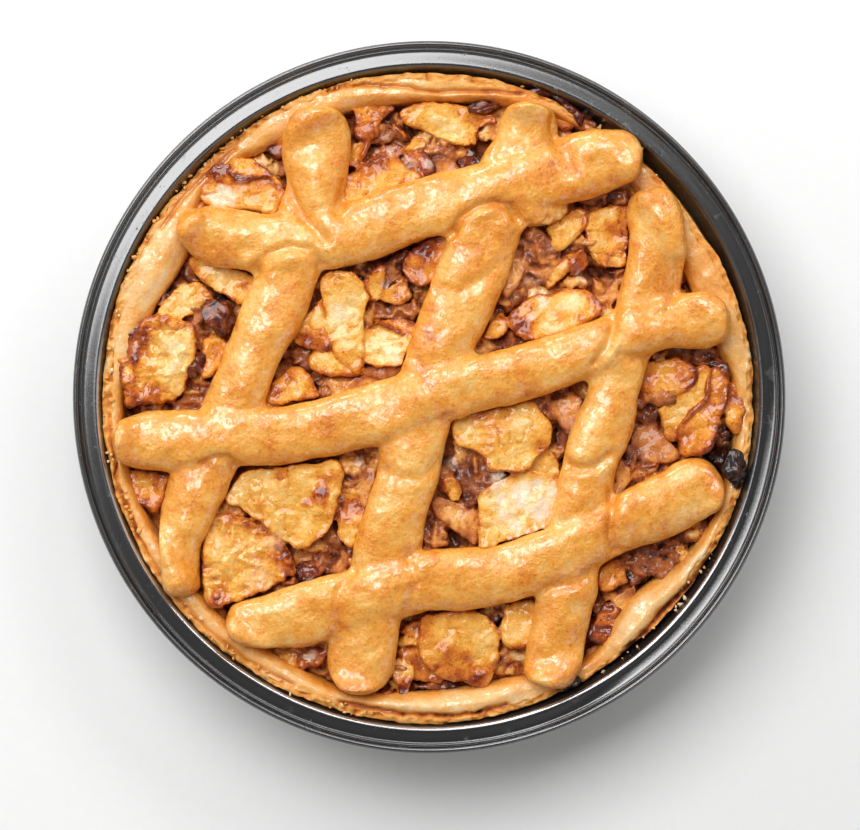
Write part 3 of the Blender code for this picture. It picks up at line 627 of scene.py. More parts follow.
# The pieces: (kind, tone, height over the filling, outline, spots). A tone is 0 for pale flesh,
# 1 for brown and 2 for burnt; a spot is (x, y, radius, change of tone, lift).
APPLE = [
    # the window at the west edge
    ("glazed", 0.42, 7.5, [(-106.5, 18), (-103, 18.3), (-99.5, 22), (-96, 26.2), (-92, 27.5),
     (-88, 27), (-84, 25.5), (-80.5, 24.5), (-79, 20), (-79, 16), (-80, 12.5), (-81.5, 9.5),
     (-82, 6), (-83.5, 1.5), (-87, -1), (-95, -1.5), (-98.5, -1.8), (-101.8, -3), (-102.8, 1),
     (-103, 7), (-104.3, 11), (-105.3, 15)],
     [(-103, 14, 6, .65, .8), (-99, 19, 6, .6, .6), (-94, 24.5, 6, .6, .5),
      (-88, 25.5, 5, .5, .3), (-103, 4, 4, .7, .8), (-101, -1.5, 5, .7, .8), (-95, 3, 7, .4, 0),
      (-97, 14, 6, .3, -.3), (-85, 13, 9, -.3, .4), (-83, 24, 3, .4, .2), (-92, 0, 4, .3, 0)]),
    ("cut", 0.85, 7.6, [(-103, 20.5), (-100.5, 23.5), (-98, 26), (-96, 26.3), (-97, 24),
     (-100, 20.8)], []),
    ("cut", 0.22, 3.5, [(-91, 30), (-89.5, 33), (-86.5, 36), (-83, 38), (-79, 38.7), (-76, 37),
     (-74, 34.5), (-74, 31), (-77, 29.5), (-80.5, 28.5), (-84, 26.3), (-88, 26.5), (-91, 27.8)],
     [(-77, 33.5, 3.5, .55, .4), (-76, 31, 2, .3, .3), (-89, 29, 3, .15, 0)]),
    ("pulp", 1.1, 4, [(-91.5, 31.5), (-90.5, 35), (-88, 36.3), (-85.5, 36), (-86, 34), (-88, 33),
     (-90, 31)], []),
    ("cut", 0.3, 3.5, [(-81.5, 46.5), (-79.5, 48), (-75, 45.8), (-70, 44), (-63, 42.5),
     (-57.5, 40.5), (-59.5, 36), (-62, 33), (-64.5, 31.5), (-67, 34), (-70, 35.5), (-74, 37.5),
     (-78, 41.5), (-80.5, 44)],
     [(-79.5, 44, 2.5, .6, .6), (-76, 40, 2, .5, .3), (-63, 38, 3, .7, -.2),
      (-61, 40.5, 2, .5, 0)]),
    ("pulp", 1.35, 1, [(-76, 36), (-71, 36.5), (-67.5, 33), (-66, 30.5), (-70, 31), (-73.5, 32.5)],
     []),
    ("pulp", 1.2, 1, [(-83, 46), (-80.5, 46), (-78, 42), (-76, 39), (-80, 38.5), (-82.5, 40)], []),
    ("glazed", 0.72, 4.5, [(-75.5, 20), (-72.5, 21), (-69, 19), (-67, 17), (-69.5, 13), (-72, 9),
     (-75, 6.5), (-78, 7.5), (-76.8, 12), (-76.3, 16)], []),
    ("glazed", 1.5, 5.5, [(-80, 14), (-78, 15.3), (-76, 14), (-76.3, 10), (-77.5, 8), (-80.5, 7),
     (-81.7, 9.5), (-81, 12)], []),
    ("pulp", 1.15, 1.5, [(-83, 4), (-81, 6.8), (-76, 6.8), (-72, 5), (-76, 0), (-80, -4),
     (-86, -5.5), (-89, -5), (-85, -1), (-83, .5)], []),
    ("pulp", 1.35, .5, [(-101, -4.5), (-99, -1), (-90, -1), (-86, -3), (-88, -5.5), (-95, -6)],
     []),
    ("pulp", 0.85, 2.5, [(-81, 26), (-77, 25), (-75, 21), (-76.5, 16), (-79.5, 15.5), (-80, 20)],
     []),
    ("pulp", 0.9, 3, [(-80, 31), (-76, 30), (-73.5, 29), (-76, 27), (-78, 24), (-81, 26)], []),
    # the windows beside the top of the west rope
    ("cut", 0.62, 6, [(-68.5, 80), (-67, 81), (-60, 80.5), (-55, 77), (-51.5, 73.5), (-49, 71),
     (-54, 74.5), (-60, 75), (-65, 75.5), (-68, 77)], []),
    ("cut", 0.6, 5, [(-76.5, 72), (-75, 76), (-72, 79), (-69.5, 80), (-67.5, 76.5), (-64, 73.5),
     (-60, 73), (-55, 73.5), (-51, 71), (-48.5, 69), (-51, 65), (-52.5, 61.5), (-56, 63),
     (-60, 64.5), (-67, 64.2), (-73, 64), (-76, 66), (-77, 69)],
     [(-72, 77, 4, .6, .5), (-73, 73, 4, .4, 0), (-66, 72.5, 4, .35, 0), (-58, 71.5, 5, .3, 0),
      (-70, 67, 4, -.5, 0), (-60, 67, 6, -.15, 0), (-50, 68, 3, .2, .3), (-53, 63, 3, -.2, 0)]),
    ("cut", 1.2, 4.5, [(-55, 88.5), (-53, 90), (-50, 92), (-48, 93.5), (-47, 90), (-48, 85),
     (-49, 82), (-51.5, 81), (-54.5, 82.5), (-55.3, 85.5)],
     [(-54, 86, 3, .5, 0), (-48.5, 89, 4, -.55, .3), (-53, 82.5, 2, .2, .3)]),
    # the window at the top
    ("cut", 0.85, 4.5, [(-28, 99), (-20, 100), (-13, 99.5), (-11.5, 97.5), (-14, 95.5),
     (-17, 94), (-18, 91.5), (-17, 89), (-22, 87), (-25, 88), (-25, 91), (-24.5, 94), (-26, 97)],
     [(-20, 90, 4, .25, .3), (-14, 98, 3, .1, 0), (-24, 97, 4, -.2, 0), (-17, 90, 2, .3, 0)]),
    ("cut", 0.7, 4, [(-28.5, 83), (-25, 85.5), (-21, 87.5), (-20.5, 86), (-21.5, 83),
     (-23, 79.5), (-25, 77.5), (-28.5, 79)], []),
    ("pulp", 0.95, 2.5, [(-20, 88), (-16, 92), (-13, 92.5), (-10, 91), (-7, 88.5), (-8, 87),
     (-12, 89), (-14, 87), (-19, 86.5)], []),
    ("glazed", 1.0, 1.2, [(-23, 78), (-19, 83), (-13, 86.5), (-9, 85), (-8.5, 82), (-12, 81.5),
     (-18, 80.5)], []),
    ("cut", 0.35, 3, [(-9, 83.5), (-6, 86), (-3, 88), (-1, 87), (-1, 84.5), (-4, 84.5),
     (-7, 83.3)], []),
    ("glazed", 1.15, 3, [(-8.5, 82.5), (-5, 83.5), (-1.5, 83), (1, 79), (1.5, 76), (-1, 73.5),
     (-4, 75.5), (-7, 79)], []),
    ("cut", 0.5, 4.5, [(-10, 96.5), (-8, 98), (0, 99), (8, 99), (15, 97), (22, 95.5),
     (22.5, 92.5), (18, 92), (16.5, 90), (16, 86), (13, 85), (9, 86), (5, 87.5), (1, 88.5),
     (-2, 91), (-6, 91.5), (-9, 93.5)],
     [(8, 89.5, 6, -.35, .3), (12, 97, 5, .35, 0), (20, 94, 4, .4, 0), (-8, 95, 3, .1, 0),
      (0, 96, 6, 0, .3), (2, 94, 3, -.2, 0)]),
    ("pulp", 1.15, 2.5, [(1, 88), (5, 87), (9, 86), (10, 82), (7, 79), (3, 81), (0, 83)], []),
    ("cut", 0.8, 2, [(0, 79), (4, 80.5), (8, 79.5), (11, 76.5), (6, 75), (1, 74.5)], []),
    ("glazed", 1.5, .5, [(9, 82), (14, 84.5), (16, 82), (18, 77.5), (12, 76.5), (9.5, 79)], []),
    ("cut", 0.55, 5, [(-29, 71), (-28, 75), (-23, 78), (-17, 80.5), (-12, 82), (-9, 80),
     (-7, 77), (-3, 75.5), (-2, 73), (-5, 72), (-10, 71.5), (-15, 70), (-20, 67.5), (-24, 65),
     (-27, 63), (-29, 66)],
     [(-12, 80.5, 4, .35, 0), (-18, 78, 3, .3, 0), (-20, 75, 6, .12, .3), (-15, 72, 5, -.15, 0),
      (-25, 66, 4, -.1, 0)]),
    # the corner between the middle rope and the north rope
    ("cut", 0.72, 3.6, [(41, 99.5), (45, 99), (49, 95.5), (49.5, 92), (47, 90.5), (43, 92),
     (40.5, 95)], [(44, 92, 3, .2, 0), (48, 94, 2.5, .3, .3)]),
    ("cut", 0.95, 2.2, [(43, 92), (47, 91), (50, 88.5), (46, 86), (43, 88)],
     [(45, 88, 3, -.2, 0)]),
    ("cut", 1.5, 6.4, [(30.5, 102), (33, 104), (38, 104.4), (43, 103.6), (46.5, 101),
     (50, 97.5), (53, 95), (51.5, 90.5), (49.8, 92.5), (48, 96), (44, 99.2), (40, 101.4),
     (35, 101.8), (31.5, 100.6)],
     [(31.5, 102, 3, -.6, 0), (40, 103, 4, .1, .3), (50, 95, 4, .1, .3), (45, 101, 3, .3, 0)]),
    ("pulp", 1.0, 4.6, [(51, 96), (54, 95), (57.5, 92.5), (56, 90.5), (53, 89.5), (51, 91.5)],
     []),
    # the north-west window
    ("cut", 0.3, 5.5, [(-36.5, 41), (-31, 42.5), (-25, 41.5), (-22.5, 38), (-20.5, 33),
     (-22, 28), (-22.5, 22), (-22, 15), (-22.5, 10), (-25, 9), (-30, 13), (-32.5, 17), (-34, 24),
     (-35.5, 31), (-37, 36)],
     [(-29, 40, 6, .35, .2), (-35, 36, 3, .3, 0), (-27, 24, 2, .4, 0), (-28.5, 15.5, 2, .7, .4),
      (-24, 20, 3, .3, -.5), (-30, 28, 5, -.3, 0), (-28, 19, 3, -.2, 0), (-23, 12, 3, .4, 0)]),
    ("cut", 0.42, 4, [(-40, 13), (-38, 16), (-34, 16.5), (-31.5, 14), (-27, 13), (-23, 11),
     (-22, 8.5), (-27, 7.5), (-33, 8), (-38, 9.5), (-40, 11)],
     [(-36, 14, 3, -.15, .2), (-29, 9, 4, .2, 0), (-25, 11, 3, .15, 0)]),
    ("cut", 0.55, 4.5, [(-43, 25), (-40, 29), (-37.5, 33), (-35.5, 33), (-35, 27), (-34.5, 21),
     (-33, 16.5), (-37, 16), (-41, 17), (-45, 18), (-46, 20.5)],
     [(-38, 28, 4, -.35, .3), (-38, 20, 4, .75, .3), (-43, 20, 3, .55, .2),
      (-34.5, 17, 2.5, .8, 0), (-41, 23.5, 3, .2, 0)]),
    ("pulp", 1.1, 1, [(-48.5, 15), (-46, 18), (-40, 16), (-39, 11), (-42, 9.5), (-46, 11.5)], []),
    ("cut", 0.3, 5, [(-22, 20), (-20.5, 23.5), (-17.5, 26), (-13, 24.5), (-8, 21.5),
     (-5, 19.5), (-7, 17), (-8.5, 14), (-9, 11), (-14, 11), (-19, 10.5), (-21.5, 12), (-22, 16)],
     [(-20, 22, 3, .6, .3), (-14, 18.5, 6, -.12, 0), (-12, 14, 5, -.25, 0)]),
    ("cut", 0.6, 4.5, [(-18, 26.5), (-14, 26), (-9, 26), (-4, 24), (-5, 20), (-10, 22.3),
     (-15, 24.5)], []),
    ("cut", 0.5, 4.5, [(-22.5, 38), (-20, 40.5), (-16, 44), (-15.3, 41), (-16, 37), (-17, 33),
     (-19, 32.5), (-21.5, 35)], []),
    ("pulp", 1.05, 2, [(-15.5, 45), (-12, 47), (-9, 46), (-10, 42), (-12, 38), (-15, 36.5),
     (-16, 40)], []),
    ("cut", 0.7, 3.5, [(-12, 38), (-9.5, 41), (-7, 38), (-6, 34), (-8, 32), (-12, 31),
     (-16, 32.5), (-16, 35)], []),
    ("cut", 0.8, 4.5, [(-9.5, 44), (-7, 48.5), (-3, 51), (2, 54), (7, 55.5), (6, 50),
     (4, 44.5), (2.5, 40), (-3, 37.5), (-6, 39), (-8, 42)],
     [(0, 52, 4, .45, .3), (-3, 49, 3, .5, .4), (-2, 46, 3, .2, .4), (-5, 40, 3, .1, 0),
      (-7, 42, 2, -.3, 0)]),
    ("pulp", 1.3, 1.5, [(-13, 40), (-14, 47), (-10, 50.5), (-6, 50.5), (-8, 46), (-10, 42)], []),
    ("pulp", 1.25, 1, [(-29, 43.5), (-26, 45), (-20, 45.5), (-16, 43), (-18, 40.5),
     (-23, 41.5)], []),
    ("pulp", 0.95, 2, [(-21.5, 31), (-18, 33), (-14, 31), (-8, 32), (-3, 33), (-1.5, 30),
     (-4, 26), (-9, 25.5), (-15, 26.5), (-20, 26.5), (-22, 28.5)], []),
    ("cut", 0.85, 3, [(-20, 10.5), (-15, 11.3), (-10, 10.5), (-9.5, 8.5), (-13, 6), (-18, 7),
     (-22, 8)], []),
    ("cut", 0.55, 2, [(-34, 6.5), (-28, 6.3), (-23, 6), (-22, 7), (-18, 7), (-14, 6),
     (-20, 3.5), (-28, .5), (-29, 3.5)], []),
    ("cut", 0.55, 4, [(-55, -1.5), (-54, 2), (-50.5, 6), (-48, 9), (-44, 9.5), (-41, 7.5),
     (-39, 4), (-36.5, 0), (-42, -.5), (-46, -.5), (-50, -2.5)],
     [(-52, 2, 3.5, .6, 0), (-47, 7.5, 3, .4, .3), (-39.5, 3, 2.5, .35, 0), (-44, 4, 4, -.05, .4),
      (-45, .8, 2, -.3, 0)]),
    ("pulp", 1.15, 2, [(-39, 6), (-35, 6), (-30, 3), (-32, .5), (-37, 0), (-38, 3)], []),
    # the north-east window
    ("cut", 0.5, 3.4, [(39.5, 57.5), (42.5, 59.5), (45, 61.1), (50.6, 64.6), (53.1, 62.4),
     (53.3, 58.6), (50, 54.9), (46.3, 51.8), (42.5, 49.3), (41.3, 51.8), (42.5, 53.6),
     (40.5, 55)],
     [(43, 60, 3, .45, 0), (46, 63, 3, .4, 0), (42.5, 50, 2, .4, 0), (49, 58, 3, -.15, 0)]),
    ("cut", 0.45, 2.6, [(53.8, 61.1), (57.5, 63.6), (63, 64.3), (67, 63.6), (67, 49.9),
     (62.5, 49.3), (60, 46.8), (58, 44.5), (55.6, 47.4), (53.6, 51.1), (53.8, 55.5)],
     [(63.5, 57, 4.6, .75, .2), (61.9, 61.8, 1.6, -.5, 0), (55.5, 60, 2, .35, 0),
      (58, 47, 2, .3, 0), (57.5, 53, 2.5, -.15, 0)]),
    ("glazed", 0.6, 3.8, [(60, 47.4), (61, 49.2), (63.1, 49.9), (67, 49.3), (67, 44.9),
     (63.1, 43.6), (60, 43.6), (58.3, 44.8)], [(63.5, 47, 2.2, -.25, .3)]),
    ("pulp", 0.95, 3.0, [(31.3, 51.8), (35, 54.3), (38.1, 56.1), (41.3, 53.6), (43.1, 51.1),
     (42.5, 48), (39.4, 44.9), (36.3, 45.5), (33.1, 47.4)], [(38.5, 51, 4, .15, .8)]),
    ("pulp", 0.8, 2.2, [(32.8, 46.8), (36, 44.6), (40, 44.2), (43, 46), (43.4, 42.5),
     (41.5, 39), (39.5, 38), (37, 40.5), (33.4, 42)], []),
    ("pulp", 0.6, 1.6, [(29, 55), (31.5, 57), (34, 56), (34.5, 53.5), (32, 52), (29.5, 52.5)], []),
    ("cut", 0.42, 3.6, [(42.5, 43.6), (46.3, 47.2), (48.4, 47.8), (45.9, 43), (42.8, 38.6),
     (40.6, 36.6), (39.4, 38)], [(43.5, 43, 2, -.1, .3)]),
    ("cut", 0.52, 2.8, [(25.6, 41.1), (28.1, 47.4), (31.3, 49.3), (33.1, 46.8), (31.9, 41.8),
     (28.8, 36.8), (26.3, 33), (24.6, 35.5)], [(31.5, 47, 2.5, .3, 0), (28, 41, 3, -.12, 0)]),
    ("cut", 0.42, 5.0, [(26.9, 26.8), (28.8, 29.3), (32.5, 32.6), (36.9, 34.5), (41.3, 33.6),
     (45, 36.1), (50, 35.8), (53.8, 34.9), (56.9, 32.4), (58.3, 29.3), (53.8, 26.1),
     (50, 23.6), (45, 22.4), (41.3, 21.1), (37.5, 19.9), (33.8, 19.3), (30, 21.1),
     (27.5, 23.6)],
     [(28.5, 26.5, 4.6, .9, .3), (32.5, 22.5, 4.6, .85, 0), (34.5, 29, 4.4, .55, .5),
      (41, 29, 3, .3, -.3), (44.5, 27, 2.6, .55, 0), (51, 28, 2.8, .6, .2), (47.5, 33, 2.6, -.3, .4),
      (50.5, 30.3, 1.6, -.3, 0), (56, 30.5, 3, .4, 0), (41.5, 24, 3.5, -.3, 0),
      (52, 34.8, 2, .35, 0), (38.5, 31, 3, -.2, .5)]),
    ("pulp", 0.4, 2.8, [(45, 38.4), (47.6, 40.4), (50.6, 40.6), (53, 38.4), (51.6, 36.6),
     (48, 36.6)], [(50, 39.6, 1.8, -.4, .4)]),
    ("cut", 0.6, 2.4, [(58.4, 31), (60, 35.5), (63.1, 39.9), (67, 41.8), (67, 38), (63.8, 33),
     (60, 29.9)], [(61, 34, 2, -.1, 0)]),
    ("pulp", 0.7, 2.6, [(54.6, 38.4), (57, 39.6), (59.4, 37.6), (59, 34.4), (57.4, 33),
     (55, 35)], []),
    ("pulp", 1.1, 3, [(59, 41.4), (61, 43.4), (67, 44.4), (67, 42.2), (62.6, 40.6)], []),
    ("pulp", 1.1, 3, [(55, 66), (59, 68), (63, 69.5), (67, 70), (67.5, 65.5), (60, 65.6)], []),
    ("cut", 0.5, 3.2, [(18.2, 19.9), (19.6, 22.6), (21.3, 25.2), (24.4, 28.4), (26.3, 25.2),
     (25.6, 21.8), (22.5, 19.6)], [(24.6, 27, 2.2, .6, .2), (21, 22, 2, -.15, 0)]),
    ("pulp", 1.1, 1, [(23.5, 37), (25.5, 38), (27.5, 31), (26.5, 28), (25, 31)], []),
    ("pulp", 1.15, .5, [(21, 17.5), (25, 22), (27, 22), (31, 20), (33, 18.5), (25, 17)], []),
    # the window at the east edge
    ("cut", 0.65, 3.5, [(72.5, 11.5), (78, 12), (84, 13.5), (88, 11), (90, 8), (89, 4),
     (86, 2), (82, .5), (77, 1.5), (72.5, 2), (71.5, 6)],
     [(84, 8.5, 4, .15, .4), (86, 7, 3, .3, .2), (74, 4, 3, .4, -.3), (80, 10, 3, -.15, 0),
      (76, 8, 3, .2, -.2)]),
    ("pulp", 0.95, 2.5, [(71, 1), (75, 3.5), (80, 2.5), (83, 0), (82, -2.5), (78, -1.5),
     (74, -2), (71, -4.5)], []),
    ("pulp", 1.4, 0, [(70.5, -4), (75, -1.5), (79, -3), (78, -8), (74, -10), (70, -8)], []),
    ("cut", 0.4, 4, [(78, -4), (82, -1.5), (88, 3), (90, 8), (92, 10.5), (95, 10), (94, 5),
     (95, 0), (92, -3), (88, -7), (85, -10), (85, -14), (81.5, -15), (79.5, -10)],
     [(91, 9, 2, .2, 0), (82, -12, 3, .35, 0), (86, -3, 4, -.1, 0), (84, -14, 2, .5, 0)]),
    ("glazed", 0.82, 6.5, [(94, 5), (96, 9.5), (99, 12), (101.5, 10), (101, 4), (100.5, -2),
     (98, -7), (97, -12), (95, -17), (90, -19), (86, -18.5), (84.5, -13), (84.5, -10), (88, -7),
     (92, -3), (94.5, 0)],
     [(98, 2, 3, .05, .3), (99, 11, 3, .5, .5), (101, 8, 3, .6, .5), (100.5, -3, 3, .5, 0),
      (86, -10, 2, .3, .3), (94, -11, 4, -.1, 0)]),
    ("pulp", 1.25, 5, [(89, 11), (92, 13), (96, 13.7), (99.5, 12.5), (101, 10), (98.5, 9.5),
     (96, 10.5), (92, 10.8)], []),
    ("cut", 0.75, 5.6, [(101.5, 5), (104, 4), (106, 0), (106.5, -5), (105.6, -10), (104, -12),
     (101, -9), (100.5, -3)],
     [(106, -2, 3, .35, .2), (105.5, -8, 3, .4, .2), (102, 0, 3, .6, 0), (104, -6, 4, -.2, 0)]),
    ("cut", 0.85, 1.5, [(70, -10), (76, -8.5), (79, -13), (82, -16), (85, -20), (80, -22),
     (77, -21.5), (72, -22), (70, -19), (68.5, -14)], [(71, -13, 3, -.15, 0)]),
    ("pulp", 1.3, 0, [(76, -6.5), (79, -8), (80.5, -12), (82.5, -15), (80, -14), (77, -11)], []),
    ("cut", 0.7, 3, [(69, -23), (72, -24.3), (77, -23), (78, -24), (72, -27), (69, -28)], []),
    ("pulp", 1.0, 2, [(66, -17), (70, -17), (70.5, -21), (68, -23), (68, -26), (65, -22)], []),
    ("cut", 0.55, 3, [(64.5, -21), (68, -25), (68.5, -28), (64, -33), (62, -33.5),
     (61.5, -29)], []),
    ("pulp", 1.9, 3, [(94, -18), (97, -16), (100, -17), (101, -20), (99, -26), (97, -25),
     (96, -21)], []),
    ("pulp", 1.3, 3, [(98, -7), (101, -6), (102, -11), (101, -16), (97, -16), (96.5, -12)], []),
    ("cut", 0.9, 4, [(97, -26), (99.5, -26), (100, -31), (99, -38), (98, -44), (96, -47),
     (94, -44), (96, -40), (97, -35), (97.2, -30)],
     [(97, -37, 2, .2, .2), (95, -46, 3, .5, .3)]),
    ("cut", 1.05, 3, [(84, -46), (90, -43), (95, -41), (97, -46), (95, -49.5), (90, -48.5),
     (86, -49.5)], [(94, -48, 3, .3, .3), (93, -44, 2, .2, .2), (86, -48, 3, .3, 0)]),
    ("cut", 0.4, 3, [(84, -51), (87, -52), (86, -54), (83, -53)], []),
    # the south window
    ("cut", 0.36, 5, [(8.5, -7.5), (12, -6), (20, -4.5), (28, -2.8), (34, -1.5), (37, -5),
     (40.5, -9), (41.5, -13), (40.5, -17), (36, -20), (33, -24), (30, -25), (24, -24.5),
     (20, -24.5), (19.5, -20), (14, -17), (9.5, -16.5), (8.5, -12)],
     [(20, -10, 4, .25, .2), (22, -13, 3, .2, .2), (36, -15, 3, .25, 0), (12, -9, 4, -.1, 0),
      (18, -6, 4, .25, 0), (31, -7, 3, -.2, .2), (38, -17, 3, .3, 0), (30, -18, 5, -.15, 0),
      (40, -12, 3, .25, 0), (21, -17, 2, .25, 0)]),
    ("cut", 0.14, 5.5, [(17.5, -33), (20, -31.5), (23, -29), (27, -27), (33, -25.5),
     (38, -26.5), (43, -28), (45, -28), (44, -33), (42.5, -40), (41, -44), (36, -45), (26, -48),
     (20, -51), (17, -51), (17.5, -45), (17.3, -38)],
     [(35, -26.5, 3, .5, .3), (42, -28, 3, .45, .3), (28, -27.5, 3, .4, .2),
      (31, -38, 2, .4, -.2), (38, -33.5, 1.8, .35, -.1), (21.5, -39.5, 1.8, .4, 0),
      (21, -46, 4, .3, .3), (34, -46, 4, .3, .5), (26, -48.5, 4, .35, .5),
      (17.5, -37, 2, .4, 0), (43.5, -36, 2, .45, 0), (42.5, -42, 3, .25, .4)]),
    ("pulp", 1.25, 2.5, [(9.5, -16.5), (14, -16.5), (19.5, -19), (20, -24.5), (24, -25),
     (28, -26), (22, -29), (17.5, -32), (17, -37), (13, -37), (10.5, -32), (9, -27), (10, -22)],
     []),
    ("cut", 0.42, 3.2, [(5.3, -27.6), (8.1, -27.3), (10.3, -31.4), (10.3, -35.1), (7.5, -34.5),
     (5.6, -31.4)], []),
    ("cut", 0.55, 3, [(1, -36), (3, -33.5), (7, -34.5), (12, -36.5), (16.5, -39),
     (17.3, -43), (17, -49), (15, -50), (11, -46.5), (6, -43), (2.5, -40)],
     [(4, -36, 4, .3, 0), (14, -40, 4, .15, 0), (9, -40, 4, -.15, 0), (6.5, -42, 2, .6, .4),
      (14, -48, 3, .3, 0)]),
    ("pulp", 0.85, 2, [(-3, -48), (0, -41), (3, -41), (5.5, -44.5), (6, -50), (0, -51)], []),
    ("cut", 0.4, 3, [(32, -24.5), (36, -20.5), (41, -18), (43.5, -22), (44.5, -27), (40, -27),
     (35, -25.5)], []),
    ("cut", 0.68, 3, [(41, -2), (45, -.5), (49, 1), (51.5, 0), (51, -6), (50, -12), (47, -13),
     (45, -9), (42, -6)], [(43, -2, 2, .35, 0), (48, -10, 3, .3, 0), (50, -3, 2, -.2, 0)]),
    ("pulp", 1.15, 1.5, [(35, -1.5), (39, -3), (42, -3), (43, -7), (40, -8), (37, -5.5)], []),
    ("cut", 1.15, 0, [(43, -12), (46, -10), (48, -14), (50, -14.5), (47, -19), (44, -18)], []),
    # the south-west window
    ("cut", 0.62, 3.5, [(-105.5, -24), (-101, -25.5), (-96, -26), (-87, -26.3), (-89, -30),
     (-91, -35), (-92.5, -38.5), (-96, -36.5), (-99, -35), (-101.5, -32.5), (-102.5, -29),
     (-104.5, -26.5)],
     [(-103, -28, 3, .45, .2), (-101, -33, 3, .4, .2), (-96, -36, 3, .35, .2),
      (-92, -27.5, 2.5, .3, 0), (-96, -29, 3, -.12, 0)]),
    ("cut", 0.38, 5.5, [(-60.5, -24.5), (-55, -24.3), (-50, -24), (-45, -23), (-38, -22.8),
     (-33, -21), (-30.5, -21.5), (-29.5, -26), (-30.5, -32), (-31.5, -37), (-33, -42),
     (-37, -47.5), (-41, -50.5), (-44.5, -51), (-48, -49), (-53, -45.5), (-57, -42),
     (-61, -39.5), (-65, -37), (-68.5, -34.5), (-66.5, -30), (-64, -26.5)],
     [(-37.5, -34, 3.8, .95, .3), (-35.5, -28, 4, .75, .2), (-32, -26, 3, .7, 0),
      (-50.5, -27, 2.5, .6, .2), (-57, -37, 2.5, .6, .2), (-42.5, -36.5, 2, .3, 0),
      (-50, -24.3, 3, .3, .2), (-64, -31, 4, -.18, 0), (-60, -27, 3, -.15, 0),
      (-55, -25.5, 2, -.3, 0), (-36, -44, 4, .2, 0), (-45, -48, 4, .2, 0),
      (-32.5, -38, 3, .25, 0)]),
    ("glazed", 0.5, 6, [(-74, -42), (-71, -40.5), (-67.5, -39.8), (-63, -41), (-58.5, -42.5),
     (-54, -46), (-51, -49), (-48, -51), (-46.5, -54), (-45.3, -59.5), (-48, -60.5), (-52, -63),
     (-56, -65.5), (-62, -67), (-68, -69.5), (-72, -71), (-74, -70.5), (-75.3, -68), (-76, -62),
     (-76.3, -56), (-75.8, -51), (-75.3, -46)],
     [(-67, -41, 3, .55, .3), (-62, -42.5, 3, .6, .4), (-56, -45.5, 3, .4, .2),
      (-51, -50, 3, .65, .4), (-48, -55, 4, .7, .4), (-52, -53, 4, .45, .2), (-54, -57, 4, .25, 0),
      (-48, -59, 2.5, .5, .2), (-73.5, -69.5, 3.5, .7, .4), (-70, -67, 4, .35, 0),
      (-58, -64, 3, .2, 0), (-66, -55, 6, -.1, .2)]),
    ("pulp", 0.8, 2, [(-69, -35), (-64, -37), (-61, -40), (-64, -40.5), (-68, -39.5),
     (-70.5, -38.5)], []),
    ("cut", 0.5, 3.5, [(-29.5, -33), (-26, -31), (-24, -33), (-21.8, -37), (-22.5, -43),
     (-24.5, -48), (-26, -50.5), (-29, -49), (-31, -46), (-30, -40)],
     [(-28, -36, 4, .6, .2), (-28.5, -41, 3, .5, .2), (-24, -37, 3, .35, 0),
      (-26, -46, 4, -.12, 0)]),
    ("cut", 0.55, 3, [(-19.5, -21), (-15.8, -20.8), (-19, -29), (-21.5, -38), (-23, -36),
     (-25, -31), (-22, -25.5)], [(-20, -27, 2, .35, 0)]),
    ("pulp", 1.1, 1.5, [(-29, -22), (-26, -24), (-23, -25), (-22.5, -30), (-25, -31),
     (-28, -31), (-29.5, -27)], []),
    ("pulp", 1.05, 1.5, [(-34, -43), (-31, -43), (-29.5, -47), (-30, -51), (-33, -50),
     (-36, -46.5)], []),
    ("pulp", 1.0, .5, [(-38.5, -49), (-35, -47), (-32, -50), (-30, -53), (-33, -57), (-37, -59),
     (-39, -55)], []),
    ("glazed", 1.25, 1, [(-44, -56), (-40, -55), (-36, -57), (-34, -58.5), (-38, -61),
     (-43, -62), (-45, -60)], []),
    ("pulp", 1.1, 1, [(-30, -50), (-25.5, -51), (-26, -56.5), (-29, -55), (-31, -53)], []),
    ("pulp", 0.75, 2, [(-34, -57.5), (-30, -55), (-27, -57), (-31, -59.5), (-35, -60)], []),
    ("glazed", 0.95, 1.5, [(-79.5, -67), (-77, -64), (-76, -66), (-75, -70), (-71, -72),
     (-69, -71), (-68.5, -74.5), (-72, -75), (-77, -73), (-79, -70)], []),
    # the windows at the south edge
    ("cut", 0.55, 5.5, [(-2.5, -75), (0, -74), (5, -73), (11, -72.5), (15, -72.5), (18.5, -74),
     (22, -77), (23.5, -80.5), (23.5, -87), (22.5, -91), (20.5, -95.5), (18, -98), (15, -97),
     (11, -95), (6, -95.5), (1, -92), (-2, -88), (-3.5, -84), (-3, -78)],
     [(8, -87, 5.5, .5, .4), (12, -88, 3, .3, 0), (5, -84, 3, .2, .3), (-1, -80, 4, .5, .3),
      (17.5, -92, 4, .45, .4), (17, -96, 3, .75, .4), (22, -91, 2.5, .5, .2),
      (19, -82, 5, -.25, .4), (2.5, -91, 1.5, .7, 0), (5, -92, 4, .3, -.5), (14, -95, 3, .2, 0)]),
    ("cut", 0.45, 3, [(-10.5, -82), (-8, -81), (-5, -80.5), (-3.5, -82), (-3.5, -84.5),
     (-6, -83.5), (-9, -84), (-10.5, -84)], []),
    ("glazed", 0.9, 3, [(-10, -79), (-6, -76), (-2, -75), (0, -76), (-1, -80), (-3, -81),
     (-7, -80.5)], []),
    ("glazed", 0.85, 2, [(-11, -86), (-8, -84.5), (-4, -84.5), (-2, -88), (1, -92), (5, -95),
     (4, -96.5), (-2, -96.5), (-5.5, -95), (-5, -91), (-8, -90)], []),
    ("cut", 0.25, 4, [(-12, -91), (-10.5, -89.5), (-7, -90.5), (-5, -91.5), (-5.5, -94.5),
     (-7, -97), (-7, -99), (-7.5, -101.5), (-9.5, -103), (-11, -101.5), (-10.5, -98),
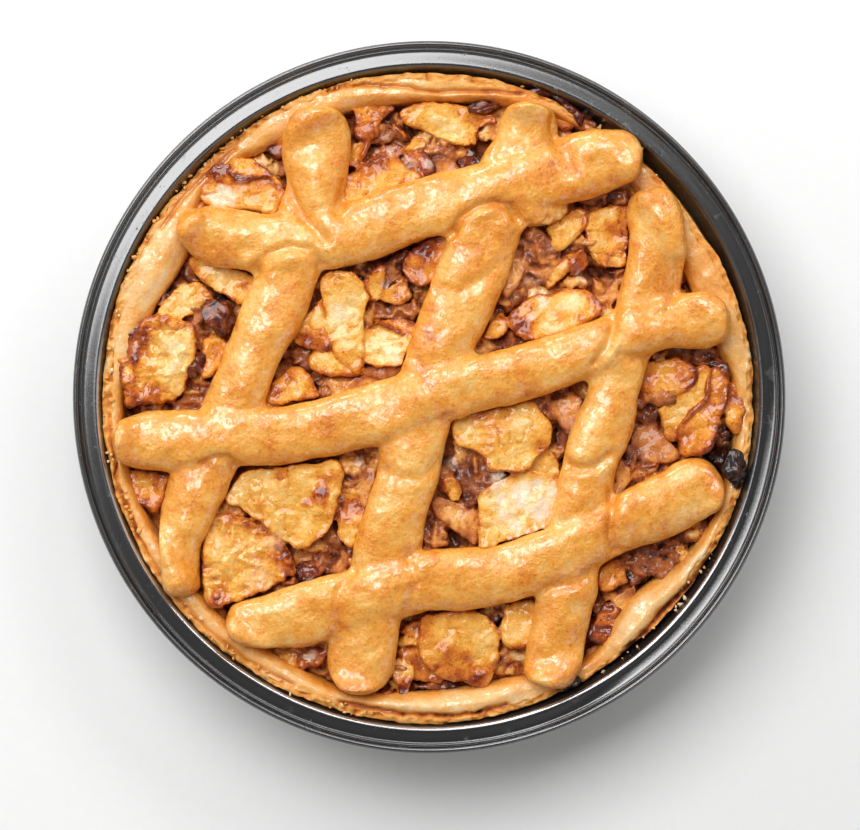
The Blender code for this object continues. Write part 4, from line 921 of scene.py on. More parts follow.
     (-12, -95)], [(-9, -97, 3, .7, .3), (-8.8, -100.5, 3.5, 1.4, .3)]),
    ("cut", 0.4, 2, [(-14, -96), (-12, -95.5), (-10.5, -97), (-11, -99), (-13, -98.5)], []),
    ("pulp", 1.05, 1.5, [(-6, -97), (0, -96.5), (5, -96.5), (9, -97), (9, -99), (5, -99.5),
     (0, -99.5), (-5, -99.5)], []),
    ("cut", 0.4, 4.5, [(26, -71), (30, -69.5), (35, -69), (36.5, -72), (35, -77), (34, -83),
     (32.5, -84.5), (29, -84.5), (25.5, -82.5), (24.5, -79), (25.5, -75)],
     [(27.5, -82, 3, -.2, .2), (30.5, -84, 2, .35, 0), (35, -73, 2, .2, 0)]),
    ("pulp", 0.7, 1, [(23.5, -84.5), (26, -82.5), (30, -84), (30, -88), (28, -90),
     (24.5, -88.5)], []),
    ("pulp", 1.3, 0, [(16.5, -71.5), (20, -70.5), (26, -70), (25, -74), (23, -77.5), (21, -76),
     (19, -74)], []),
    ("glazed", 1.1, 3, [(-44.5, -87), (-43, -85), (-39, -85), (-34.5, -85.5), (-34.5, -88),
     (-37, -90.5), (-41, -92), (-44, -94), (-46, -92.5)], []),
    ("cut", 0.4, 3, [(-51, -87), (-47, -86.5), (-45, -87), (-44.5, -91), (-44, -94),
     (-47, -93.5), (-50, -90.5)], [(-50, -90, 2, .6, 0), (-45.5, -93, 2.5, .5, 0)]),
    ("glazed", 0.85, 6.4, [(-27, -98), (-22, -100), (-17, -100), (-12.5, -99), (-13, -103),
     (-17, -104.5), (-22, -103), (-26, -101)], []),
    # the windows at the south-east edge
    ("cut", 0.72, 3.5, [(58, -58), (61, -56), (64.5, -55), (65.5, -59), (67.5, -62),
     (65, -63), (62, -64.5), (60, -66), (58, -65), (57, -61)],
     [(64, -56.5, 2, .3, 0), (66, -61.5, 2, .1, .3)]),
    ("pulp", 1.15, 2, [(65, -53), (70, -52), (75, -53), (76, -57), (73, -62), (70, -63.5),
     (67, -62.5), (66, -57)], []),
    ("pulp", 0.55, 3.4, [(70, -56.5), (73, -56), (75, -58), (75, -60.5), (72, -60),
     (70.5, -58.5)], []),
    ("pulp", 1.0, 3, [(75, -53), (78, -51), (82, -50), (85, -52), (83.5, -57), (82.5, -60),
     (79, -61.8), (76, -60), (74.5, -57)],
     [(79, -60, 3, .25, .2), (80, -52, 3, .2, 0), (78, -54, 3, -.12, .2)]),
    ("pulp", 1.3, 1.5, [(71, -48), (78, -46.5), (85, -47), (85, -51), (78, -53), (71, -53)], []),
    ("cut", 0.5, 3, [(62, -68), (65, -66.5), (68, -65), (70, -64), (69.5, -69), (68, -73),
     (66, -76.5), (64, -75), (63, -71)], [(66, -71, 4, -.1, 0), (69, -66, 3, .35, 0)]),
    ("glazed", 1.0, 4.5, [(56.5, -75), (58, -72), (60, -69), (63, -69.5), (65.5, -72),
     (65, -76), (66.5, -79.5), (64.5, -83), (62.5, -86.5), (59, -85.5), (58, -83.5),
     (54.5, -82), (54, -79), (55, -76.5)],
     [(58, -76, 3, -.1, .4), (61, -80, 3, .3, .3), (62, -83, 3, .35, .2), (63, -73, 3, -.05, .3),
      (57, -80, 3, .2, 0), (65.5, -79, 2, .3, .3)]),
    ("pulp", 1.4, 0, [(55.5, -65), (59, -65), (59.5, -70), (58.5, -75), (55.5, -75)], []),
    ("cut", 0.7, 2, [(54, -85), (58, -84.5), (59, -86), (56, -89), (54, -90.5), (52, -89)], []),
    ("cut", 0.9, 4, [(51, -92), (54, -90), (57, -89), (56.5, -91), (53.5, -94.5), (50, -95)],
     []),
]
# Dark peel and caramelised edges: (tone, height over the filling, radius, line).
PEEL = [
    (1.45, 5.2, 1.2, [(-73, 76.5), (-70, 78), (-68, 77), (-66.5, 75), (-64, 73.5), (-60, 74),
                      (-57, 75), (-53, 74.5)]),
    (1.2, 4.0, 0.9, [(-20.8, 87), (-21.5, 83.5), (-24, 79.5)]),
    (1.1, 3.0, 0.8, [(-12, 92), (-9.5, 90), (-7.5, 87.8)]),
    (1.3, 4.8, 1.0, [(-20.5, 23.5), (-17.5, 25.3), (-12, 23), (-8, 21), (-5.8, 19.3)]),
    (1.45, 4.4, 1.1, [(-20.5, 40), (-22.3, 37.5), (-21.5, 34.5), (-18.8, 32.5)]),
    (1.15, 6.2, 0.8, [(95.5, 10), (94, 4), (94.5, 0), (90, -4), (85, -9), (84.7, -14)]),
    (1.15, 3.4, 0.9, [(68, -27), (69, -22.8), (72, -24), (75, -23.5), (78, -21.8)]),
    (1.5, 7.2, 1.0, [(-106, 18), (-103, 19.5), (-99.5, 23), (-96, 26), (-91, 27)]),
    (1.5, 7.0, 0.9, [(-105.8, 17), (-104, 11), (-102.8, 4), (-102, -2), (-97, -2)]),
]
# A bundle of brown fibres round a core.
PEEL += [
    (1.15 + 0.1 * (step % 2), 3.6 - 0.2 * step, 0.6, [
        (45 + 0.9 * step, 43.5 - 0.7 * step), (48.6 + step, 46.6 - 0.6 * step),
        (52.4 + 0.5 * step, 50.4 - 0.9 * step),
    ])
    for step in range(5)
]
# Gaps where nothing has risen and the sauce lies deep: (x, y, radius).
GAPS = [
    (-5.5, 89.5, 2.6), (18, 87, 2.6), (17.5, 82, 2.6), (16, 78, 2.4), (-22, 94, 1.8),
    (-28.5, 72, 2.2), (9.5, -47.5, 3.2), (56, 42.5, 2.6), (45, -13.5, 2.6), (46, -18.5, 2.6),
    (12, 80.5, 2.0), (-2, 70.5, 1.6), (33, 57.5, 2.2),
]
GAP_REACH = 1.25  # how far past its radius a gap still reaches
GAP_DEPTH = 3.6
GAP_SHADE = 0.5  # how much darker the sauce is painted there: painted shade in the gaps
# Browner pieces that lie lower than this have stewed in the sauce.
LOW_RISE = 3.0
BROWN_TONE = 0.5
LEAN = (0.05, -0.08)  # most pieces lie with the same side a little higher
SLANT = 0.12  # and each a little its own way
SHRED_SLANT = 0.35
LEAN_SEED = 500  # a piece's number is added to it
PIECE_STEP = 0.8
PIECE_SINKS = 3.0  # how far a piece reaches down into the sauce
PIECE_SPREADS = 0.45  # and how far past its outline, against its neighbours
PIECE_BULGE = 0.03  # how much higher its middle is than its edge, as a share of its radius
EDGE_WIDTH = 1.0  # of the raised and browned edge
EDGE_RISE = 0.9
EDGE_TONE = {"cut": 0.8, "glazed": 0.9, "pulp": 0.8}
# How dark a piece's underside is painted: painted shade.
UNDER_SHADE = 1.3
# Down a piece's side: (share of its depth, how far it flares).
SIDE_LEVELS = [(0.07, 0.0), (0.16, 0.05), (0.3, -0.1), (0.55, 0.2), (0.9, -0.4)]
PEEL_SIDES = 10
# The shreds of pulp: how many, and the ranges of their sizes, their heights over the filling,
# and their tones as a middle and a spread.
SHREDS = 430
SHRED_CORNERS = 5
SHRED_SIZES = (1.6, 4.2)
SHRED_RISES = (-0.6, 2.6)
SHRED_TONES = (0.62, 0.28)
FIRST_SHRED = 1000  # shreds are numbered from here, and pieces from 0
# The sauce: how far it stands under the filling's level, and the height of its underside.
SAUCE_DEPTH = 1.4
SAUCE_LOW = 23.0
SAUCE_SIDES = 400
SAUCE_RINGS = 80
PULP_VOXEL = 0.68
PIECES_VOXEL = 0.5
MOST_TRIANGLES = 195_000  # of the pulp, and of the pieces
SPLIT_WIDTH = 0.09  # as a share of the lumps that the splits wind between
# The width of the darker band painted along the splits: painted shade in them.
SPLIT_SHADE_WIDTH = 0.12
# kind: (how far its edge is rounded, unevenness, how wet, how grainy)
KINDS = {
    "cut": (0.5, 0.5, 0.7, 0.22), "glazed": (0.8, 0.7, 1.0, 0.45),
    "pulp": (1.0, 1.1, 0.85, 1.0),
}
# Where set juice has turned milky, and pale painted highlights where wet apple catches the light: (x,
# y, radius, share).
MILK_AND_GLINTS = [
    (-69, 68, 3.2, 0.75), (-71.5, 65.5, 2.0, 0.5), (-57, -60, 4.5, 0.2), (-52, -49, 3.5, 0.2),
    (8, -22, 2.1, 0.9), (-14.5, 38, 1.6, 0.7), (-23.5, -22.5, 1.6, 0.9), (23.5, -28, 3, 0.7),
    (-40, -87.5, 1.6, 0.8), (51, 40.5, 1.8, 0.4), (-13.4, 84, 2.2, 0.45),
    (-6.8, 79.6, 1.7, 0.45), (-0.4, 79, 1.3, 0.35),
    (33, 39.4, 0.9, 0.4), (36.4, 38.6, 0.9, 0.4), (35.6, 35.8, 0.9, 0.4),
    (37.3, 33.2, 0.9, 0.7), (38.6, 31.4, 1.3, 0.8), (34.6, 27, 1.2, 0.6),
    (24, -34.5, 2.4, 0.7), (31, -32, 3.2, 0.8), (38, -37.5, 3.4, 0.8),
    (29, -43, 2.4, 0.7), (36, -29.5, 2.4, 0.65), (41.5, -32, 2.2, 0.7), (25, -39.5, 2.2, 0.6),
    (30, -46.4, 0.8, 0.8), (33, -45.2, 0.8, 0.85), (36, -44, 0.8, 0.85), (38.6, -42.8, 0.9, 0.8),
    (27, -47.6, 0.7, 0.7), (-73, 68, 1.3, 0.8), (-67.5, 65.5, 1.3, 0.8),
]


def walked_along(corners):
    """How far it is from the first corner to each, along the straight lines between them."""
    return np.concatenate([[0], np.cumsum(np.hypot(*np.diff(corners, axis=0).T))])


def even_steps(corners, step, fewest, endpoint=True):
    """Places at even steps along the straight lines through the corners."""
    corners = np.array(corners, float)
    walked = walked_along(corners)
    count = max(fewest, round(walked[-1] / step))
    places = np.linspace(0, walked[-1], count, endpoint=endpoint)
    return np.column_stack([np.interp(places, walked, corners[:, axis]) for axis in (0, 1)])


def soft_outline(corners, step):
    """A closed line through the corners, at even steps, with the corners rounded off."""
    line = even_steps([*corners, corners[0]], step, 12, endpoint=False)
    for _ in range(2):
        line = 0.5 * line + 0.25 * (np.roll(line, 1, 0) + np.roll(line, -1, 0))
    return line


def apple_piece(number, kind, tone, rise, corners, spots):
    """Points, faces and stored numbers of one piece, wide as its outline and closed below."""
    rounding, uneven, wet, grain = KINDS[kind]
    line = soft_outline(corners, PIECE_STEP)
    flat = np.column_stack([line, np.full(len(line), number * 31.0)])
    middle = line.mean(0)
    out = line - middle
    reach = np.hypot(out[:, 0], out[:, 1])
    ragged = uneven * (0.7 * lumps(flat, 3.2, 41) + 0.5 * lumps(flat, 1.5, 42))
    line = line + out / reach[:, None] * (ragged + PIECE_SPREADS)[:, None]
    count = max(3, round(reach.mean() / PIECE_STEP))
    top = np.vstack([middle + (line - middle) * share for share in np.linspace(0, 1, count + 1)])
    inside = to_line(top, [*line, line[0]])
    inside[-len(line):] = 0
    covered = rounding - np.minimum(inside, rounding)
    height = filling_height(*middle) + rise - rounding + np.sqrt(rounding**2 - covered**2)
    bulge = 1 - inside / inside.max()
    height += PIECE_BULGE * reach.mean() * (0.55 - bulge**2)
    slant = SHRED_SLANT if number >= FIRST_SHRED else SLANT
    lean = np.random.default_rng(number + LEAN_SEED).uniform(-slant, slant, 2) + LEAN
    height += (top - middle) @ lean
    solid = np.column_stack([top, np.full(len(top), number * 31.0)])
    height += uneven * (0.9 * lumps(solid, 6, 43) + 0.5 * lumps(solid, 2.6, 44))
    edge = np.exp(-inside / EDGE_WIDTH)
    uneven_edge = np.clip(0.5 + 1.1 * lumps(solid, 6, 47), 0, 1.5)
    if kind != "pulp":
        height += EDGE_RISE * edge * uneven_edge
    shade = tone + EDGE_TONE[kind] * edge * uneven_edge
    spot_edge = 1 + 0.5 * lumps(solid, 3.2, 48)
    for x, y, size, change, lift in spots:
        size *= 0.85 if change > 0.4 else 1
        away = np.hypot(top[:, 0] - x, top[:, 1] - y) / size * spot_edge
        weight = np.exp(-(away ** (3.5 if change > 0.3 else 2)))
        shade = shade + (0.72 if change > 0.3 else 1) * change * weight
        height = height + lift * weight
    places = [np.column_stack([top, height])]
    shades = [shade]
    rim_height = height[-len(line):]
    deep = rise + PIECE_SINKS
    for share, flare in SIDE_LEVELS:
        depth = deep * share
        rough = uneven * 0.45 * lumps(flat + (0, 0, depth), 2.2, 46)
        spread = line + out / reach[:, None] * (flare + rough)[:, None]
        places.append(np.column_stack([spread, rim_height - depth]))
        # Down its sides a piece is painted darker the deeper they go: painted shade.
        shades.append(np.full(len(line), tone + 0.25 + 0.10 * min(depth, 5)))
    under = np.tile(middle, (len(line), 1))
    places.append(np.column_stack([under, np.full(len(line), rim_height.mean() - deep)]))
    shades.append(np.full(len(line), UNDER_SHADE))
    places = np.vstack(places)
    numbers = np.tile((wet, grain), (len(places), 1))
    faces = ring_faces(len(places) // len(line), len(line))
    return places, faces, np.column_stack([np.concatenate(shades), numbers])


def tube_faces(levels, sides):
    """The faces of a tube of rings, closed at both ends."""
    last = (levels - 1) * sides
    ends = [list(range(sides))[::-1], list(range(last, last + sides))]
    return ring_faces(levels, sides) + ends


def peel_piece(tone, rise, thickness, line):
    """A curled edge of peel: a thin tube along a line, tapered at both ends."""
    path = soft_line(line, PIECE_STEP)
    heading = np.gradient(path, axis=0)
    aside = np.column_stack([heading[:, 1], -heading[:, 0]])
    aside /= np.hypot(*heading.T)[:, None]
    section = np.linspace(0, math.tau, PEEL_SIDES, endpoint=False)
    share = np.linspace(0, 1, len(path))
    radius = thickness * np.sqrt(np.maximum(0.08, np.sin(share * math.pi)))
    flat = path[:, None] + aside[:, None] * (radius[:, None] * np.cos(section))[:, :, None]
    flat = flat.reshape(-1, 2)
    height = filling_height(flat[:, 0], flat[:, 1]) + rise
    height += (radius[:, None] * np.sin(section) * 1.3).ravel()
    numbers = np.tile((tone, 0.9, 0.3), (len(flat), 1))
    return np.column_stack([flat, height]), tube_faces(len(path), PEEL_SIDES), numbers


def soft_line(points, step):
    """An open smooth line through the points, at even steps."""
    line = even_steps(points, step, 4)
    for _ in range(3):
        line[1:-1] = 0.5 * line[1:-1] + 0.25 * (line[:-2] + line[2:])
    return line


def within(point, corners):
    """Whether a point lies inside a closed outline."""
    ring = np.array([*corners, corners[0]], float)
    x, y = point
    start, end = ring[:-1], ring[1:]
    crossing = (start[:, 1] > y) != (end[:, 1] > y)
    rise = np.where(crossing, end[:, 1] - start[:, 1], 1)
    to_right = x < start[:, 0] + (y - start[:, 1]) / rise * (end[:, 0] - start[:, 0])
    return (crossing & to_right).sum() % 2 == 1


def in_gaps(x, y):
    """How far each place lies in the gaps: 1 in the middle of one."""
    return sum(
        np.exp(-(np.hypot(x - gap_x, y - gap_y) / radius / GAP_REACH) ** 4)
        for gap_x, gap_y, radius in GAPS
    )


chunk_parts = []
pulp_parts = []
for number, row in enumerate(APPLE):
    kind, tone, rise = row[:3]
    stewed = kind == "pulp" or (kind == "cut" and tone >= BROWN_TONE and rise <= LOW_RISE)
    (pulp_parts if stewed else chunk_parts).append(apple_piece(number, *row))
chunk_parts += [peel_piece(*row) for row in PEEL]
# Shreds of pulp lie wherever no whole piece does.
chance = np.random.default_rng(77)
whole_outlines = [row[3] for row in APPLE if row[0] != "pulp"]
shreds = 0
while shreds < SHREDS:
    x, y = chance.uniform(-104, 104, 2)
    turned = np.arctan2(y, x)
    size = chance.uniform(*SHRED_SIZES)
    rise = chance.uniform(*SHRED_RISES)
    tone = chance.normal(*SHRED_TONES)
    bends = chance.uniform(0.75, 1.15, SHRED_CORNERS)
    shifts = chance.uniform(-0.4, 0.4, SHRED_CORNERS)
    long_way = chance.uniform(0, math.pi)
    stretch = chance.uniform(0.1, 1.8)
    if math.hypot(x, y) > around(RIM_INNER, np.array([turned]))[0] - 2:
        continue
    if any(within((x, y), corners) for corners in whole_outlines):
        continue
    if any(math.hypot(x - gap_x, y - gap_y) < radius + 1 for gap_x, gap_y, radius in GAPS):
        continue
    turns_of_shred = np.arange(SHRED_CORNERS) * math.tau / SHRED_CORNERS + shifts
    bends = bends * (1 + stretch * np.cos(turns_of_shred - long_way) ** 2)
    corners = [
        (x + size * bend * math.cos(way), y + size * bend * math.sin(way))
        for bend, way in zip(bends, turns_of_shred)
    ]
    pulp_parts.append(apple_piece(FIRST_SHRED + shreds, "pulp", tone, rise, corners, []))
    shreds += 1

# The sauce lies under them, out to the case.
sauce_turns = np.linspace(0, math.tau, SAUCE_SIDES, endpoint=False)
sauce_edge = case_inside(sauce_turns, FILLING_EDGE) - 0.1
sauce_levels = []
for ring in range(SAUCE_RINGS + 1):
    reach = sauce_edge * ring / SAUCE_RINGS
    x = reach * np.cos(sauce_turns)
    y = reach * np.sin(sauce_turns)
    flat = np.column_stack([x, y, np.zeros(SAUCE_SIDES)])
    uneven = 1.8 * lumps(flat, 7, 31) + 1.0 * lumps(flat, 3, 32) + 0.4 * lumps(flat, 1.6, 33)
    uneven -= GAP_DEPTH * in_gaps(x, y)
    sauce_levels.append((reach, filling_height(x, y) - SAUCE_DEPTH + uneven))
sauce_levels += [
    (sauce_edge - 0.5, BODY_TOP), (sauce_edge - 2, SAUCE_LOW), (sauce_edge * 0, SAUCE_LOW),
]
sauce_places = stacked(sauce_levels, SAUCE_SIDES)
sauce_tone = 0.98 - 0.3 * lumps(sauce_places, 3, 32) + 0.15 * lumps(sauce_places, 9, 34)
# In the gaps the sauce is painted darker: painted shade.
sauce_tone += GAP_SHADE * in_gaps(sauce_places[:, 0], sauce_places[:, 1])
sauce_wet_and_grain = np.tile((0.9, 0.5), (len(sauce_places), 1))
pulp_parts.append((
    sauce_places, ring_faces(len(sauce_levels), SAUCE_SIDES),
    np.column_stack([sauce_tone, sauce_wet_and_grain]),
))


def as_one(parts):
    """The points and the faces of parts together: each is (points, faces, ...)."""
    faces = []
    start = 0
    for part in parts:
        faces += [[corner + start for corner in face] for face in part[1]]
        start += len(part[0])
    return np.vstack([part[0] for part in parts]), faces


def fuse(piece, voxel):
    """Melts what overlaps into one skin."""
    work_on(piece)
    fused = piece.modifiers.new("fused", "REMESH")
    fused.mode = "VOXEL"
    fused.voxel_size = voxel * 0.001
    bpy.ops.object.modifier_apply(modifier="fused")


def pick_edges(flaw):
    """Selects only the edges with this flaw."""
    looked_for = dict.fromkeys(
        ("use_wire", "use_boundary", "use_multi_face", "use_non_contiguous", "use_verts"), False,
    )
    looked_for[flaw] = True
    bpy.ops.mesh.select_all(action="DESELECT")
    bpy.ops.mesh.select_non_manifold(extend=False, **looked_for)


def mended(piece):
    """Takes off flakes that share an edge with the skin, and closes every hole."""
    work_on(piece)
    bpy.ops.object.mode_set(mode="EDIT")
    bpy.ops.mesh.select_mode(type="EDGE")
    bpy.ops.mesh.select_all(action="SELECT")
    bpy.ops.mesh.remove_doubles(threshold=0.000001)
    pick_edges("use_multi_face")
    bpy.ops.mesh.delete(type="EDGE")
    bpy.ops.mesh.select_all(action="SELECT")
    bpy.ops.mesh.delete_loose()
    pick_edges("use_boundary")
    bpy.ops.mesh.fill_holes(sides=0)
    bpy.ops.mesh.select_mode(type="VERT")
    bpy.ops.object.mode_set(mode="OBJECT")


def splits_at(skin, width):
    """Where the skin has split as it baked, in thin winding lines."""
    lines = np.exp(-(lumps(skin * (1, 1, 0.4), 4.2, 75) / width) ** 2)
    return lines * soft_step(lumps(skin, 8, 77), -0.2, 0.3)


def melted(name, parts, voxel):
    """One skin over the parts, which keeps their numbers."""
    places, faces = as_one(parts)
    kept = np.vstack([part[2] for part in parts])
    piece = new_piece(name, places, faces)
    outward(piece, merge=0.001)
    fuse(piece, voxel)
    bpy.ops.object.mode_set(mode="EDIT")
    bpy.ops.mesh.select_all(action="SELECT")
    bpy.ops.mesh.bisect(
        plane_co=(0, 0, BODY_TOP * 0.001), plane_no=(0, 0, 1), clear_inner=True,
    )
    bpy.ops.object.mode_set(mode="OBJECT")
    mended(piece)
    tree = kdtree.KDTree(len(places))
    for index, place in enumerate(places.tolist()):
        tree.insert(place, index)
    tree.balance()

    def carried(skin):
        """The tone, wetness and grain of the parts' points that lie nearest."""
        numbers = np.zeros((len(skin), 3))
        for index, place in enumerate(skin.tolist()):
            found = [hit[1] for hit in tree.find_n(place, 3)]
            numbers[index] = kept[found].mean(0)
        return numbers

    skin = points_of(piece)
    grain = carried(skin)[:, 2]
    relief = (
        grain * (0.9 - 2.2 * abs(lumps(skin, 3.4, 71)) - 1.2 * abs(lumps(skin, 1.6, 72)))
        + 0.7 * lumps(skin, 9, 78) + 0.5 * (0.4 - abs(lumps(skin, 6, 76)))
        + 0.26 * lumps(skin, 2.6, 73) + 0.13 * lumps(skin, 1.2, 74)
        - 0.35 * splits_at(skin, SPLIT_WIDTH)
    )
    free_top = soft_step(skin[:, 2], BODY_TOP + 0.2, BODY_TOP + 1.5)
    move_points(piece, skin + points_of(piece, normals=True) * (relief * free_top)[:, None])
    thinned = piece.modifiers.new("thinned", "DECIMATE")
    triangles = sum(len(face.vertices) - 2 for face in piece.data.polygons)
    thinned.ratio = min(1, MOST_TRIANGLES / triangles)
    thinned.use_collapse_triangulate = True
    work_on(piece)
    bpy.ops.object.modifier_apply(modifier="thinned")
    mended(piece)
    skin = points_of(piece)
    tone, wet, grain = carried(skin).T
    # Milky set juice and painted highlights, with frayed edges.
    milk_and_glint_share = np.zeros(len(skin))
    frayed = 1 + 0.7 * lumps(skin, 2.2, 79)
    for x, y, size, amount in MILK_AND_GLINTS:
        away = np.hypot(skin[:, 0] - x, skin[:, 1] - y) / size * frayed
        milk_and_glint_share = np.maximum(milk_and_glint_share, amount * np.exp(-(away ** 5)))
    # Where the grain's hollows were pressed in, the tone is painted darker: painted shade.
    tone = tone + grain * (0.7 * abs(lumps(skin, 3.4, 71)) - 0.15)
    # Along the splits the tone is painted darker: painted shade.
    tone = tone + 0.25 * splits_at(skin, SPLIT_SHADE_WIDTH)
    store(piece, tone=tone, wet=wet, milk=milk_and_glint_share)
    work_on(piece)
    bpy.ops.object.shade_smooth()
    return piece


pulp = melted("apple_pulp", pulp_parts, PULP_VOXEL)
chunks = melted("apple_pieces", chunk_parts, PIECES_VOXEL)

# Tones from 0 to 2 take the colours from place 0 to place 1.
FLESH_SHADES = [
    (0.0, (255, 224, 172)), (0.125, (254, 204, 124)), (0.25, (250, 181, 80)),
    (0.375, (236, 151, 54)), (0.5, (210, 113, 40)), (0.625, (168, 76, 27)),
    (0.75, (122, 47, 19)), (1.0, (66, 23, 11)),
]
STEWED_SHADES = [
    (0.0, (255, 226, 178)), (0.125, (252, 202, 130)), (0.25, (242, 174, 92)),
    (0.375, (224, 144, 72)), (0.5, (194, 113, 60)), (0.625, (160, 87, 50)),
    (0.75, (122, 61, 37)), (0.875, (84, 40, 24)), (1.0, (44, 20, 12)),
]
APPLE_LIGHT = 0.92  # the share of the shades' light that is kept
# The pale colour of milky set juice, also used for painted highlights.
SET_JUICE_AND_GLINT = (*linear(248, 222, 196), 1)


def apple_skin(name, shades, grainy, gloss):
    """The finish of baked apple, from pale flesh to burnt sauce."""
    skin = Finish(name, IOR=1.25, Coat_IOR=gloss, Coat_Roughness=0.08)
    patches = skin.noise(5, 3, 0.6)
    flecks = skin.noise(1.3, 4, 0.68)
    fibres = skin.noise(2.2, 3, 0.6, twist=2.2)
    fine = skin.noise(0.5, 3, 0.65)
    glaze = skin.noise(2.6, 2, 0.5)
    syrup = skin.between(skin.noise(5, 4, 0.62), 0.46, 0.52)
    specks = skin.between(skin.noise(1.2, 2, 0.5), 0.62, 0.70)
    caramel = skin.between(skin.noise(4, 4, 0.65), 0.60, 0.74)
    tone = (
        skin.stored("tone") + (patches - 0.5) * 0.75 + (flecks - 0.5) * 0.4 * grainy
        + (fibres - 0.5) * 0.5 + (fine - 0.5) * 0.2 + caramel * 0.35 + specks * 0.3
    )
    wet = skin.stored("wet")
    flesh = skin.ramp(tone * 0.5, dimmed(shades, APPLE_LIGHT))
    # Milky juice and painted highlights are laid over the flesh colour.
    skin.look(
        Base_Color=skin.mix(skin.stored("milk"), flesh, SET_JUICE_AND_GLINT),
        Roughness=(0.52 - wet * 0.22 + (glaze - 0.5) * 0.4).held(),
        Coat_Weight=(wet * (0.15 + syrup * 0.95)).held(),
    )
    skin.bump((patches, 0.5), (glaze, 0.5), (fibres, 0.3 * grainy), (flecks, 0.3 * grainy),
              (fine, 0.12 * grainy))
    return skin


baked_apple = apple_skin("baked_apple", FLESH_SHADES, 1, 1.6)
stewed_apple = apple_skin("stewed_apple", STEWED_SHADES, 0.7, 1.5)
finished(body, stewed_apple, "apple", "apple_filling")
finished(pulp, stewed_apple, "apple")
finished(chunks, baked_apple, "apple")


# ------------------------------------------------------------------ the lattice
# Six ropes of the same dough, rolled by hand and laid three by three, and one small flap. Egg
# wash makes them golden and glossy; they have swollen and baked together where they cross.

# (x, y, width) in millimetres along the middle of each, tip to tip.
ROPES = {
    "west": [(-37, 98, 20), (-38, 84, 22), (-38, 70, 20), (-46, 45, 21), (-53, 29, 21),
             (-61, 10, 20), (-68, -9, 20), (-76, -26, 20), (-82, -40, 19), (-84, -54, 14),
             (-82, -67, 12)],
    "middle": [(33.5, 99.5, 20.5), (32.5, 87, 21), (27, 75, 22), (17, 50, 24), (10, 31, 24),
               (3, 14, 22), (-4, -10, 21), (-8.5, -30, 21), (-14, -50, 22), (-19, -68, 22),
               (-23, -87, 23), (-23, -100, 19)],
    "east": [(73, 71, 16), (76, 59, 19), (76, 45, 20), (73, 31, 20), (65, 12, 18),
             (60, -6, 19), (54, -24, 19), (50, -44, 20), (47, -62, 20), (44, -78, 20),
             (39, -98, 20)],
    "north": [(-83, 62.5, 5), (-79, 58, 15), (-71.5, 54.5, 20.5), (-58, 52, 20), (-42, 52, 20),
              (-26, 55.5, 21), (-8, 61.5, 21), (14, 67.5, 21), (32, 73, 20), (49, 77.5, 22),
              (62, 80, 21), (72.5, 79.5, 14)],
    "centre": [(-106, -14, 15), (-95, -15, 20), (-70, -14, 20), (-46, -12.5, 20), (-25, -8, 20),
               (-3, -0.5, 20), (20, 5.8, 19), (42, 11.5, 19), (60, 18.5, 19), (80, 25, 19),
               (101, 26, 18)],
    "south": [(-69, -75, 12), (-58, -76, 17), (-44, -74, 21), (-26, -68, 20), (-4, -63, 21),
              (22, -60, 21), (42, -53.5, 20), (62, -44.5, 19), (80, -35.5, 22), (98, -27, 20)],
    "flap": [(28, 66, 14), (36, 63.5, 12), (42, 64, 9), (47, 66, 6)],
}
TORN_EDGE = [(30.5, 58.5), (36, 57.5), (41, 58.5), (45.5, 62.5)]  # of the flap's pale dough
OVER = ("north", "centre", "south")  # these lie across the others
ROPE_RISE = 5.2  # a rope's middle above what it lies on
ROPE_HALF_HEIGHT = 6.4
TIP_FULLNESS = 2.6
SECTION_FULLNESS = 0.86  # under 1 it is squarer than an ellipse, as the rope sags
BED_OVER_FILLING = 1
BED_UNDER_CREST = 1.5
BED_SLOPE = (-6, 2)  # where it rises to the rim, from the rim's inside
CROSSING_RISE = 1.6
CROSSING_REACH = 15
ROPE_STEP = 1.5
ROPE_SIDES = 40
LATTICE_VOXEL = 0.85
LATTICE_SMOOTHING = 16
